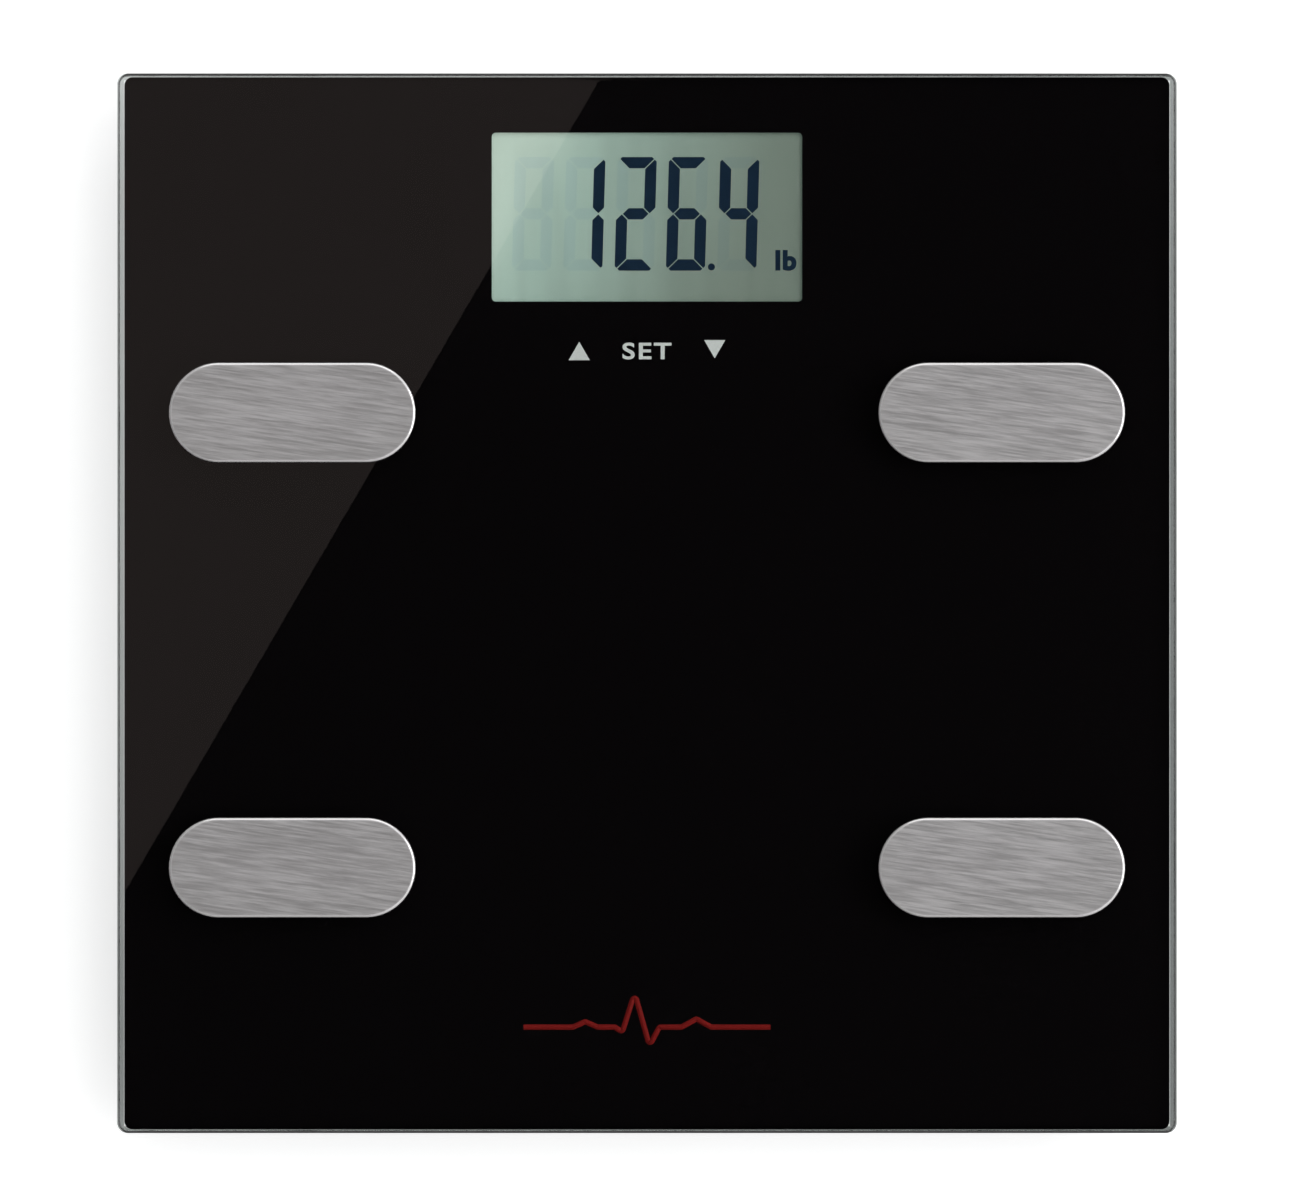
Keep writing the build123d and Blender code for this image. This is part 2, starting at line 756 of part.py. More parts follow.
# ---------------------------------------------------------------- battery door
hinge_round = door_thickness / 2
hinge_y = door_half_y - hinge_round
hinge_z = tray_bottom + hinge_round
tongue_tab_x = 14.0
tongue_tab_width = 8.0
tongue_tab_reach = 2.8
tongue_tab_bottom = door_top - 0.2
tongue_tab_top = tongue_tab_bottom + 1.2
tongue_tab_root = 3.4
latch_width = 12.0
latch_wall = 1.2
latch_height = 6.2
latch_leg_gap = 2.4
latch_tooth = 1.0

with BuildPart() as battery_door:
    with Locations((0, hinge_y, tray_bottom)):
        Box(
            2 * door_half_x,
            door_half_y + hinge_y,
            door_thickness,
            align=(Align.CENTER, Align.MAX, Align.MIN),
        )
    with Locations((0, hinge_y, hinge_z)):
        Cylinder(hinge_round, 2 * door_half_x, rotation=(0, 90, 0))
    tab_y = door_half_y + door_gap + tongue_tab_reach
    with Locations((-tongue_tab_x, tab_y, tongue_tab_bottom), (tongue_tab_x, tab_y, tongue_tab_bottom)):
        Box(
            tongue_tab_width,
            tongue_tab_reach + door_gap + tongue_tab_root,
            tongue_tab_top - tongue_tab_bottom,
            align=(Align.CENTER, Align.MAX, Align.MIN),
        )
    grip_y = -door_half_y + 5.0
    with Locations(*[(0, grip_y + i * 1.8, tray_bottom) for i in range(4)]):
        Box(latch_width + 4, 0.8, 0.4, align=UP, mode=Mode.SUBTRACT)
save(battery_door, "battery_door")

with BuildPart() as door_foam:
    with Locations((0, 0, door_top)):
        Box(2 * bay_half_x - 14, 2 * bay_half_y - 8, foam_thickness, align=UP)
save(door_foam, "battery_door_foam")

leg_y = -door_half_y - latch_wall
outer_leg_y = leg_y - latch_leg_gap - latch_wall
latch_top = tray_bottom + latch_height
tooth_bottom = tray_bottom + 3.0
with BuildPart() as door_latch:
    with BuildSketch(Plane.YZ.offset(-latch_width / 2)):
        with BuildLine():
            Polyline(
                (-door_half_y, tray_bottom),
                (-door_half_y, latch_top),
                (outer_leg_y, latch_top),
                (outer_leg_y, tooth_bottom + 1.6),
                (outer_leg_y - latch_tooth, tooth_bottom + 0.8),
                (outer_leg_y - latch_tooth, tooth_bottom),
                (outer_leg_y, tooth_bottom),
                (outer_leg_y, tray_bottom + 1.6),
                (outer_leg_y - 1.6, tray_bottom + 1.6),
                (outer_leg_y - 1.6, tray_bottom + 0.4),
                (outer_leg_y + latch_wall, tray_bottom + 0.4),
                (outer_leg_y + latch_wall, latch_top - latch_wall),
                (leg_y, latch_top - latch_wall),
                (leg_y, tray_bottom),
                close=True,
            )
        make_face()
    extrude(amount=latch_width)
    bends = door_latch.edges().filter_by(Axis.X).group_by(Axis.Z)[-1]
    fillet(bends, latch_wall * 0.8)
save(door_latch, "battery_door_latch")

# ---------------------------------------------------------------- base tray
latch_pocket_front = outer_leg_y - latch_tooth - 2.2
latch_pocket_half = latch_width / 2 + 0.6
latch_pocket_top = latch_top + 0.6
latch_ledge_top = tooth_bottom - 0.15
latch_ledge_bottom = latch_ledge_top - 0.9
finger_recess_half = 10.0
finger_recess_length = 10.0
finger_recess_depth = 2.4
hinge_window_top = hinge_z + 5.0
pocket_box_wall = 1.4


def loft_tray(inset, z_low, z_high, corner):
    """Tapered rounded block that follows the tray's drafted side, inset from its outer face."""
    with BuildPart() as block:
        for z in (z_low, z_high):
            drawn_in = inset + tray_draft * (tray_top - z) / (tray_top - tray_bottom)
            with BuildSketch(Plane.XY.offset(z)):
                RectangleRounded(2 * (tray_half_x - drawn_in), 2 * (tray_half_y - drawn_in), corner)
        loft(ruled=True)
    return block


tray_shape = loft_tray(0, tray_bottom, tray_top, tray_corner)
with tray_shape:
    fillet(tray_shape.faces().sort_by(Axis.Z)[0].edges(), bottom_round)
cavity_shape = loft_tray(tray_wall, tray_floor_top, tray_top, tray_corner - tray_wall)
rim_bottom = tray_top - rim_height
rib_x = (board_half_x + foot_x - tower_half) / 2
board_rib_y = min(bay_outer_y + 18.0, (bay_outer_y + board_front) / 2)
rib_lines_y = (-foot_y + 4.0, -bay_outer_y - 22.0, board_rib_y)

with BuildPart() as inner_walls:
    height = board_top - tray_floor_top
    for x in (-rib_x, rib_x):
        with Locations((x, 0, tray_floor_top)):
            Box(rib_thickness, platform_depth, height, align=UP)
    for y in rib_lines_y:
        with Locations((0, y, tray_floor_top)):
            Box(platform_width, rib_thickness, height, align=UP)
    with Locations((0, board_front + 1.6, tray_floor_top)):
        Box(2 * board_half_x - 16, rib_thickness, board_bottom - tray_floor_top, align=UP)
    with Locations((0, 0, tray_floor_top)):
        Box(2 * bay_outer_x, 2 * bay_outer_y, tray_top - tray_floor_top, align=UP)
    with Locations([(x, y, tray_floor_top) for x, y in screw_places]):
        Cylinder(post_radius, board_bottom - tray_floor_top, align=UP)
    pocket_depth = -door_half_y - latch_pocket_front + pocket_box_wall
    with Locations((0, latch_pocket_front - pocket_box_wall, tray_floor_top)):
        Box(
            2 * (latch_pocket_half + pocket_box_wall),
            pocket_depth,
            latch_pocket_top + pocket_box_wall - tray_floor_top,
            align=(Align.CENTER, Align.MIN, Align.MIN),
        )
    with Locations((0, latch_pocket_front + 0.5, tray_floor_top)):
        Box(
            2 * (finger_recess_half + pocket_box_wall),
            finger_recess_length + pocket_box_wall + 0.5,
            tray_bottom + finger_recess_depth + pocket_box_wall - tray_floor_top,
            align=(Align.CENTER, Align.MAX, Align.MIN),
        )
    for x, y in corners.values():
        with BuildSketch(Plane((x, y, tray_floor_top))):
            RectangleRounded(2 * block_half, 2 * block_half, collar_corner)
        extrude(amount=block_top - tray_floor_top)
        with BuildSketch(Plane((x, y, tray_floor_top))):
            RectangleRounded(2 * tower_half, 2 * tower_half, 2.0)
        extrude(amount=tray_top - tray_floor_top)
        with Locations([(*p, tray_floor_top) for p in collar_screw_places(x, y)]):
            Cylinder(post_radius, tray_bottom + collar_screw_length + 1.5 - tray_floor_top, align=UP)
    add(tray_shape.part, mode=Mode.INTERSECT)

with BuildPart() as base_tray:
    add(tray_shape.part)
    add(cavity_shape.part, mode=Mode.SUBTRACT)
    with BuildSketch(Plane.XY.offset(rim_bottom)) as rim:
        RectangleRounded(2 * tray_half_x, 2 * tray_half_y, tray_corner)
        RectangleRounded(
            2 * (tray_half_x - rim_width),
            2 * (tray_half_y - rim_width),
            tray_corner - rim_width,
            mode=Mode.SUBTRACT,
        )
    extrude(amount=rim_height)
    add(tray_shape.part, mode=Mode.INTERSECT)
    add(inner_walls.part)
    # Load cell pockets, open below, with their relief, lead window and collar recess
    for x, y in corners.values():
        inward = -1 if x > 0 else 1
        with BuildSketch(Plane((x, y, tray_bottom))):
            RectangleRounded(2 * collar_recess_half, 2 * collar_recess_half, collar_corner)
        extrude(amount=collar_plate, mode=Mode.SUBTRACT)
        with Locations((x, y, tray_bottom)):
            Box(
                2 * pocket_half,
                2 * pocket_half,
                load_cell_top - tray_bottom,
                align=UP,
                mode=Mode.SUBTRACT,
            )
        with Locations((x, y, tray_bottom)):
            Cylinder(
                foot_radius + foot_clearance,
                collar_counterbore_top - tray_bottom,
                align=UP,
                mode=Mode.SUBTRACT,
            )
        with Locations((x, y, load_cell_top)):
            Box(
                load_cell_side - 6,
                load_cell_side - 6,
                relief_ceiling - load_cell_top,
                align=UP,
                mode=Mode.SUBTRACT,
            )
        with Locations((x + inward * tower_half, y, lead_z)):
            Box(2 * tower_wall + 8, 4 * lead_pitch, 2 * lead_radius + 0.8, mode=Mode.SUBTRACT)
        with Locations([(*p, tray_bottom) for p in collar_screw_places(x, y)]):
            Cylinder(screw_radius + screw_fit, collar_screw_length + 0.5, align=UP, mode=Mode.SUBTRACT)
    # Battery bay, door seat, hinge windows and latch pocket
    with Locations((0, 0, tray_bottom)):
        Box(
            2 * (door_half_x + door_gap),
            2 * (door_half_y + door_gap),
            door_thickness,
            align=UP,
            mode=Mode.SUBTRACT,
        )
        Box(2 * bay_half_x, 2 * bay_half_y, bay_ceiling - tray_bottom, align=UP, mode=Mode.SUBTRACT)
    window_depth = bay_wall + door_gap + tongue_tab_reach + 0.4
    tab_window_z = tongue_tab_bottom - door_gap
    tab_window_y = bay_half_y + window_depth / 2
    with Locations([(x, tab_window_y, tab_window_z) for x in (-tongue_tab_x, tongue_tab_x)]):
        Box(
            tongue_tab_width + 0.8,
            window_depth,
            hinge_window_top - tab_window_z,
            align=UP,
            mode=Mode.SUBTRACT,
        )
    for y in (battery_ys[0], battery_ys[-1]):
        with Locations((bay_half_x + bay_wall / 2, y, board_top - contact_thickness / 2)):
            Box(2 * bay_wall, lug_width + 0.4, contact_thickness + 0.4, mode=Mode.SUBTRACT)
    with Locations((0, latch_pocket_front, tray_bottom)):
        Box(
            2 * latch_pocket_half,
            -door_half_y - latch_pocket_front,
            latch_pocket_top - tray_bottom,
            align=(Align.CENTER, Align.MIN, Align.MIN),
            mode=Mode.SUBTRACT,
        )
    with Locations((0, latch_pocket_front, latch_ledge_bottom)):
        Box(
            2 * latch_pocket_half,
            outer_leg_y - 0.3 - latch_pocket_front,
            latch_ledge_top - latch_ledge_bottom,
            align=(Align.CENTER, Align.MIN, Align.MIN),
        )
    with BuildSketch(Plane((0, latch_pocket_front - finger_recess_length / 2, tray_bottom))):
        RectangleRounded(2 * finger_recess_half, finger_recess_length, 3.0)
    extrude(amount=finger_recess_depth, mode=Mode.SUBTRACT)
    # Unit button hole, board screw holes and label recess
    with Locations((unit_button_x, unit_button_y, tray_bottom)):
        Cylinder(unit_button_radius + slide_fit, tray_floor, align=UP, mode=Mode.SUBTRACT)
    with Locations([(x, y, board_screw_seat) for x, y in screw_places]):
        Cylinder(screw_radius + screw_fit, board_screw_length + 0.5, align=DOWN, mode=Mode.SUBTRACT)
    with BuildSketch(Plane((0, -foot_y + 14, tray_bottom))):
        RectangleRounded(64, 30, 2)
    extrude(amount=0.2, mode=Mode.SUBTRACT)
save(base_tray, "base_tray")


# ---------------------------------------------------------------- leads
def add_lead(points, bends=None):
    """Round insulated lead along straight runs, with an arc of the given radius at each corner."""
    with BuildPart() as lead:
        with BuildLine() as route:
            if bends:
                FilletPolyline(*points, radius=bends)
            else:
                Line(*points)
        with BuildSketch(Plane(route.line @ 0, z_dir=route.line % 0)):
            Circle(lead_radius)
        sweep(path=route.line)
    add(lead.part)


board_edge_pad = 2.5
board_landing_x = board_half_x - board_edge_pad
board_landing_y = board_front + board_edge_pad
gauge_lead_x = foot_x + tongue_inner_edge + 1.0 - gauge_size[0] / 2 - 2 * lead_lift
cell_lane_x = bay_outer_x + 17.5
cell_bend = 10.0
jog_bend = 3.0
jog_x = (board_half_x + foot_x - tower_half) / 2 - 4.0


def add_rear_cell_leads(side):
    """Three leads from a rear gauge straight in to the side of the board, with one jog for slack."""
    for shift in (-lead_pitch, 0, lead_pitch):
        y = foot_y + shift
        jog = side * (jog_x - shift)
        points = [
            (side * gauge_lead_x, y, lead_z),
            (jog, y, lead_z),
            (jog, y - 3 * jog_bend, lead_z),
            (side * board_landing_x, y - 3 * jog_bend, lead_z),
        ]
        add_lead(points, [jog_bend + shift, jog_bend - shift])


def add_front_cell_leads(side):
    """Three leads from a front gauge in to the lane beside the battery bay and up it to the board."""
    for shift in (-lead_pitch, 0, lead_pitch):
        lane = side * (cell_lane_x + shift)
        points = [
            (side * gauge_lead_x, -foot_y + shift, lead_z),
            (lane, -foot_y + shift, lead_z),
            (lane, board_landing_y, lead_z),
        ]
        add_lead(points, [cell_bend - shift])


for name, side in {"left": -1, "right": 1}.items():
    with BuildPart() as cell_leads:
        add_rear_cell_leads(side)
        add_front_cell_leads(side)
    save(cell_leads, f"load_cell_leads_{name}")

# Electrode leads hang under the film, above all the others, and come down to the board at its front edge
electrode_lane_x = {"front": cell_lane_x + 4.5, "rear": cell_lane_x + 7.5}
electrode_lead_x = electrode_x - 1.5 * terminal_radius - crimp_length - 2 * lead_lift
electrode_lead_z = film_bottom - crimp_radius
descent = 12.0
with BuildPart() as electrode_leads:
    for place, (x, y) in electrode_places.items():
        side = 1 if x > 0 else -1
        lane = side * electrode_lane_x[place.split("_")[0]]
        descent_y = max(board_landing_y - descent, y + 1.5 * jog_bend)
        points = [
            (side * electrode_lead_x, y, electrode_lead_z),
            (lane, y, electrode_lead_z),
            (lane, descent_y, electrode_lead_z),
            (lane, board_landing_y + 4.0, lead_z),
        ]
        add_lead(points, [jog_bend, jog_bend])
save(electrode_leads, "electrode_leads")

battery_lane_x = {battery_ys[0]: bay_outer_x + 10.0, battery_ys[-1]: bay_outer_x + 7.0}
with BuildPart() as battery_leads:
    for y, lane in battery_lane_x.items():
        points = [
            (bay_outer_x + lug_reach / 2, y, lead_z),
            (lane, y, lead_z),
            (lane, board_landing_y, lead_z),
        ]
        add_lead(points, [4.0])
save(battery_leads, "battery_leads")
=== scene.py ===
"""Bathroom scale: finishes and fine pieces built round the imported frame, laid out as a Blender add-on."""

import math

import bmesh
import bpy
from bpy.props import FloatProperty, FloatVectorProperty, IntProperty, PointerProperty, StringProperty
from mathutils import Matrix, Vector


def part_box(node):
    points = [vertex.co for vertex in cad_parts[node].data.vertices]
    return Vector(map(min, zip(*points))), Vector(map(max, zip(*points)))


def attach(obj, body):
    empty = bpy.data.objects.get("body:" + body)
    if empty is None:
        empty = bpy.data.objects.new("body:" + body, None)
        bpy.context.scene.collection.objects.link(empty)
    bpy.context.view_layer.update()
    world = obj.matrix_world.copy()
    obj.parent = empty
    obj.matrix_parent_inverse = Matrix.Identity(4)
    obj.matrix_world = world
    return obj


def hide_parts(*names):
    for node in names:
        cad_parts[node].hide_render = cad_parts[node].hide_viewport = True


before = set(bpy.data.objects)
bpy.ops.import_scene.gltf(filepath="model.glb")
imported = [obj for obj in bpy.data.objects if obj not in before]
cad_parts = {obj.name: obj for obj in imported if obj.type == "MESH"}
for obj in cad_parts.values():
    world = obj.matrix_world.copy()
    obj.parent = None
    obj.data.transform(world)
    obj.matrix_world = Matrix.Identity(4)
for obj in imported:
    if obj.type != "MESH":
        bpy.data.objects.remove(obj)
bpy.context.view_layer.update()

bl_info = {
    "name": "Bathroom scale",
    "version": (1, 0, 0),
    "blender": (4, 5, 0),
    "location": "3D View > Sidebar > Scale",
    "description": "Builds a glass bathroom scale piece by piece",
    "category": "Add Mesh",
}

MM = 0.001
CORNERS = ("rear_left", "rear_right", "front_left", "front_right")


# ---------------------------------------------------------------- settings
def length(name, description, default):
    """A size in metres."""
    return FloatProperty(name=name, description=description, default=default, unit="LENGTH", precision=5)


def angle(name, description, default):
    """An angle, shown in degrees."""
    return FloatProperty(name=name, description=description, default=default, unit="ROTATION")


def colour(name, description, default):
    """A linear colour."""
    return FloatVectorProperty(name=name, description=description, default=default, subtype="COLOR", size=3)


class GlassSettings(bpy.types.PropertyGroup):
    """The glass platform and what is printed on its back."""

    tint: colour("Glass tint", "What one face of the glass lets through", (0.955, 0.985, 0.972))
    # rim_tint and rim_shade darken the clear rim as painted shade: the shadowed floor under the edge, seen
    # through the glass. rim_shade is the front right, painted darkest
    rim_tint: colour("Rim tint", "What one face lets through along the ground rim", (0.5, 0.525, 0.515))
    rim_shade: colour("Rim shade", "The same at the front right, the darkest place", (0.165, 0.178, 0.174))
    rim_width: length("Rim width", "Width of the ground rim", 2.2 * MM)
    print_tone: colour("Back print", "Black print behind the glass", (0.0028, 0.0021, 0.0025))
    print_bite: length("Print bite", "How far the print is sunk into the glass", 0.05 * MM)
    print_bleed: length("Print bleed", "How far the print runs past its film, front and rear", 0.3 * MM)
    ink_tone: colour("Key ink", "Light ink of the key marks", (0.72, 0.735, 0.72))
    mark_width: length("Arrow width", "Width of each arrow key mark", 6.0 * MM)
    mark_height: length("Arrow height", "Height of each arrow key mark", 5.2 * MM)
    word_width: length("Word width", "Width of the word between the arrows", 13.9 * MM)
    word_height: length("Word height", "Height of its capitals", 4.8 * MM)
    pulse_tone: colour("Pulse ink", "Red ink of the pulse line", (0.225, 0.012, 0.011))
    pulse_width: length("Pulse width", "Length of the pulse line", 70.0 * MM)
    pulse_height: length("Pulse height", "Height of its tallest beat", 15.0 * MM)
    pulse_stroke: length("Pulse stroke", "Width of the pulse line's stroke", 1.5 * MM)
    pulse_centre: length("Pulse place", "Its middle, along Y", -118.0 * MM)
    mark_lift: length("Mark lift", "How far the second arrow stands behind the first", 0.5 * MM)


class DisplaySettings(bpy.types.PropertyGroup):
    """The reading on the display."""

    reading: StringProperty(name="Reading", description="Digits shown, with one point", default="126.4")
    digit_height: length("Digit height", "Height of a digit", 32.2 * MM)
    digit_width: length("Digit width", "Width of a digit", 11.1 * MM)
    stroke: length("Segment width", "Width of one segment", 3.2 * MM)
    gap: length("Segment gap", "Gap between segments", 0.3 * MM)
    chamfer: length("Corner cut", "How much a digit's corners are cut off", 1.3 * MM)
    pitch: length("Digit pitch", "From one digit to the next", 14.55 * MM)
    last_digit: length("Last digit", "Left edge of the last digit, from the window's left edge", 64.35 * MM)
    digit_top: length("Digit top", "Top of the digits, below the window's top edge", 6.9 * MM)
    slant: angle("Slant", "Forward slant of the digits", math.radians(1.6))
    lit_tone: colour("Lit segment", "Dark blue of a segment that is on", (0.0093, 0.0205, 0.041))
    # left_tone to right_tone is painted light: the display's brightness, falling from left to right, is
    # painted into its colour
    left_tone: colour("Background, left", "Display background at its bright side", (0.86, 1.0, 0.92))
    right_tone: colour("Background, right", "Display background at its dull side", (0.445, 0.475, 0.42))


class MetalSettings(bpy.types.PropertyGroup):
    """The steel of the electrodes and the parts under the glass."""

    steel_tone: colour("Steel", "Brushed stainless steel", (0.80, 0.785, 0.79))
    brush_angle: angle("Brushing angle", "Turn of the brushed lines from the long side", math.radians(-8))
    brush_depth: FloatProperty(name="Brushing depth", description="Strength of the lines", default=0.15)


class UndersideSettings(bpy.types.PropertyGroup):
    """Tray, feet and door."""

    tray_tone: colour("Tray plastic", "Grey moulded plastic", (0.15, 0.152, 0.158))
    foot_tone: colour("Foot plastic", "Dark foot and collar plastic", (0.02, 0.02, 0.021))
    rubber_tone: colour("Pad rubber", "Grey rubber of the foot pads", (0.06, 0.06, 0.062))
    tread_count: IntProperty(name="Tread blocks", description="Blocks in the pad's ring", default=28)
    tread_depth: length("Tread depth", "How far the blocks stand out", 0.5 * MM)


class StageSettings(bpy.types.PropertyGroup):
    """Floor, light and camera."""

    camera_height: length("Camera height", "Above the floor", 3.0)
    frame_width: length("Framed width", "What the picture's width covers at the glass", 0.36485)
    aim_right: length("Aim, right", "Where the camera aims, along X", -0.0007)
    aim_rear: length("Aim, rear", "Where the camera aims, along Y", 0.00305)
    floor_tone: colour("Floor", "Pale floor", (0.92, 0.92, 0.92))
    sheen: FloatProperty(name="Sheen", description="Light of the card mirrored in the glass", default=0.335)


# ---------------------------------------------------------------- nodes
def arithmetic(operation, swapped=False):
    """A method of Socket that makes one Math node of two values."""

    def method(self, other):
        return self.math(operation, *((other, self) if swapped else (self, other)))

    return method


class Socket:
    """A node's output that Python arithmetic turns into Math nodes."""

    def __init__(self, builder, socket):
        self.builder = builder
        self.socket = socket

    def math(self, operation, *values):
        return self.builder.node("ShaderNodeMath", {"operation": operation}, dict(enumerate(values)))

    __add__ = __radd__ = arithmetic("ADD")
    __mul__ = __rmul__ = arithmetic("MULTIPLY")
    __sub__, __rsub__ = arithmetic("SUBTRACT"), arithmetic("SUBTRACT", True)
    __truediv__, __rtruediv__ = arithmetic("DIVIDE"), arithmetic("DIVIDE", True)
    larger = arithmetic("MAXIMUM")

    def size(self):
        return self.math("ABSOLUTE", self)

    def wave(self):
        return self.math("SINE", self)

    def rise(self, low, high, to_low=0.0, to_high=1.0):
        """Turns smoothly from to_low to to_high as this goes from low to high."""
        settings = {"interpolation_type": "SMOOTHSTEP"}
        inputs = {"Value": self, "From Min": low, "From Max": high, "To Min": to_low, "To Max": to_high}
        return self.builder.node("ShaderNodeMapRange", settings, inputs)


class Builder:
    """A node tree being built. Any node comes from node()."""

    def __init__(self, tree):
        self.tree = tree

    def node(self, kind, settings=None, inputs=None, output=0):
        """A node with its settings made first and its sockets then filled with values or links."""
        made = self.tree.nodes.new(kind)
        for key, value in (settings or {}).items():
            setattr(made, key, value)
        for key, value in (inputs or {}).items():
            if isinstance(value, Socket):
                self.tree.links.new(value.socket, made.inputs[key])
            else:
                made.inputs[key].default_value = value
        return Socket(self, made.outputs[output])

    def part(self, vector, name):
        """The X, Y or Z of a vector."""
        return self.node("ShaderNodeSeparateXYZ", inputs={0: vector}, output="XYZ".index(name))


class Finish(Builder):
    """A material made of nodes on Object coordinates."""

    def __init__(self, name, **plain):
        self.material = bpy.data.materials.new(name)
        self.material.use_nodes = True
        super().__init__(self.material.node_tree)
        self.shader = self.tree.nodes["Principled BSDF"]
        self.place = self.node("ShaderNodeTexCoord", output="Object")
        self.feed(**plain)

    def feed(self, **inputs):
        """Fills the shader's sockets; Base_Color stands for Base Color."""
        for key, value in inputs.items():
            socket = self.shader.inputs[key.replace("_", " ")]
            if isinstance(value, Socket):
                self.tree.links.new(value.socket, socket)
            elif socket.type == "RGBA" and len(value) == 3:
                socket.default_value = (*value, 1.0)
            else:
                socket.default_value = value

    def axis(self, name):
        return self.part(self.place, name)

    def facing(self, name):
        """How far the surface faces along an axis, from -1 to 1."""
        return self.part(self.node("ShaderNodeNewGeometry", output="Normal"), name)

    def mapped(self, stretch=(1, 1, 1), turn=(0, 0, 0)):
        """Place turned and then stretched, so a pattern's lines can run at any angle."""
        inputs = {"Vector": self.place, "Rotation": turn, "Scale": tuple(1 / part for part in stretch)}
        return self.node("ShaderNodeMapping", {"vector_type": "TEXTURE"}, inputs)

    def noise(self, scale, detail=2.0, rough=0.5, stretch=(1, 1, 1), turn=(0, 0, 0)):
        inputs = {"Vector": self.mapped(stretch, turn), "Scale": scale, "Detail": detail, "Roughness": rough}
        return self.node("ShaderNodeTexNoise", inputs=inputs)

    def specks(self, scale):
        return self.node("ShaderNodeTexVoronoi", inputs={"Vector": self.place, "Scale": scale})

    def blend(self, factor, first, second):
        """A colour between two colours, each a socket or three numbers."""
        ends = [tone if isinstance(tone, Socket) else (*tone, 1.0) for tone in (first, second)]
        inputs = {0: factor, 6: ends[0], 7: ends[1]}
        return self.node("ShaderNodeMix", {"data_type": "RGBA"}, inputs, output=2)

    def shaded(self, tone, by, low, high):
        """A colour made darker and lighter by a value from 0 to 1."""
        dark = tuple(min(1.0, low * part) for part in tone)
        light = tuple(min(1.0, high * part) for part in tone)
        return self.blend(by, dark, light)

    def bump(self, height, distance, strength=1.0):
        inputs = {"Height": height, "Distance": distance, "Strength": strength}
        self.feed(Normal=self.node("ShaderNodeBump", inputs=inputs))

    def cover(self, tone, by, shades, rough=None, relief=None):
        """Colour, roughness and relief that all follow one value from 0 to 1."""
        self.feed(Base_Color=self.shaded(tone, by, *shades))
        if rough:
            self.feed(Roughness=by.rise(*rough))
        if relief:
            self.bump(by, *relief)
        return self

    def shine_through(self, passed):
        """Lets lamps through a clear surface, so that what is behind it is lit."""
        surface = Socket(self, self.shader.outputs[0])
        lamps = self.node("ShaderNodeLightPath", output="Is Shadow Ray")
        clear = self.node("ShaderNodeBsdfTransparent", inputs={0: (*passed, 1.0)})
        mixed = self.node("ShaderNodeMixShader", inputs={0: lamps, 1: surface, 2: clear})
        output = self.tree.nodes["Material Output"]
        self.tree.links.new(mixed.socket, output.inputs["Surface"])


class Shaper(Builder):
    """A Geometry Nodes tree with named inputs and a material, run on pieces by grow()."""

    def __init__(self, name, sockets):
        tree = bpy.data.node_groups.new(name, "GeometryNodeTree")
        super().__init__(tree)
        tree.interface.new_socket("Geometry", in_out="INPUT", socket_type="NodeSocketGeometry")
        tree.interface.new_socket("Geometry", in_out="OUTPUT", socket_type="NodeSocketGeometry")
        for socket, kind in {**sockets, "Material": "Material"}.items():
            tree.interface.new_socket(socket, in_out="INPUT", socket_type="NodeSocket" + kind)
        self.group = tree.nodes.new("NodeGroupInput")

    def given(self, name):
        return Socket(self, self.group.outputs[name])

    def vector(self, x=0.0, y=0.0, z=0.0):
        return self.node("ShaderNodeCombineXYZ", inputs={0: x, 1: y, 2: z})

    def finish(self, geometry):
        """Ends the tree in real geometry with its material set."""
        real = self.node("GeometryNodeRealizeInstances", inputs={0: geometry})
        inputs = {"Geometry": real, "Material": self.given("Material")}
        coated = self.node("GeometryNodeSetMaterial", inputs=inputs)
        output = self.tree.nodes.new("NodeGroupOutput")
        self.tree.links.new(coated.socket, output.inputs[0])
        return self

    def copies(self, points, shape, **more):
        """Ends the tree in copies of a shape on points."""
        inputs = {"Points": points, "Instance": shape, **more}
        return self.finish(self.node("GeometryNodeInstanceOnPoints", inputs=inputs))

    def grow(self, piece, **values):
        """Runs the tree on a piece and leaves the result as its plain mesh."""
        modifier = piece.modifiers.new("Shape", "NODES")
        modifier.node_group = self.tree
        for item in self.tree.interface.items_tree:
            key = item.name.replace(" ", "_").lower()
            if item.in_out == "INPUT" and key in values:
                modifier[item.identifier] = values[key]
        bpy.context.view_layer.update()
        done = piece.evaluated_get(bpy.context.evaluated_depsgraph_get())
        mesh = bpy.data.meshes.new_from_object(done)
        piece.modifiers.clear()
        old = piece.data
        piece.data = mesh
        bpy.data.meshes.remove(old)
        mesh.name = piece.name
        return piece


# ---------------------------------------------------------------- pieces
def new_piece(name, data=None):
    """An object at the origin that holds a mesh or a curve."""
    piece = bpy.data.objects.new(name, data or bpy.data.meshes.new(name))
    bpy.context.scene.collection.objects.link(piece)
    return piece


def from_bmesh(name, work):
    mesh = bpy.data.meshes.new(name)
    work.to_mesh(mesh)
    work.free()
    return new_piece(name, mesh)


def copy_of_node(node, name):
    """A piece with a CAD node's shape, its loose corners joined."""
    work = bmesh.new()
    work.from_mesh(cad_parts[node].data)
    bmesh.ops.remove_doubles(work, verts=work.verts, dist=1e-7)
    return from_bmesh(name, work)


def plates(name, outlines, level, thickness=0.0):
    """Closed plates that stand on a level, from outlines of (x, y) going anticlockwise."""
    work = bmesh.new()
    for outline in outlines:
        work.faces.new([work.verts.new((x, y, level)) for x, y in outline])
    if thickness:
        made = bmesh.ops.extrude_face_region(work, geom=list(work.faces))
        top = [part for part in made["geom"] if isinstance(part, bmesh.types.BMVert)]
        bmesh.ops.translate(work, verts=top, vec=(0, 0, thickness))
        bmesh.ops.recalc_face_normals(work, faces=work.faces)
    return from_bmesh(name, work)


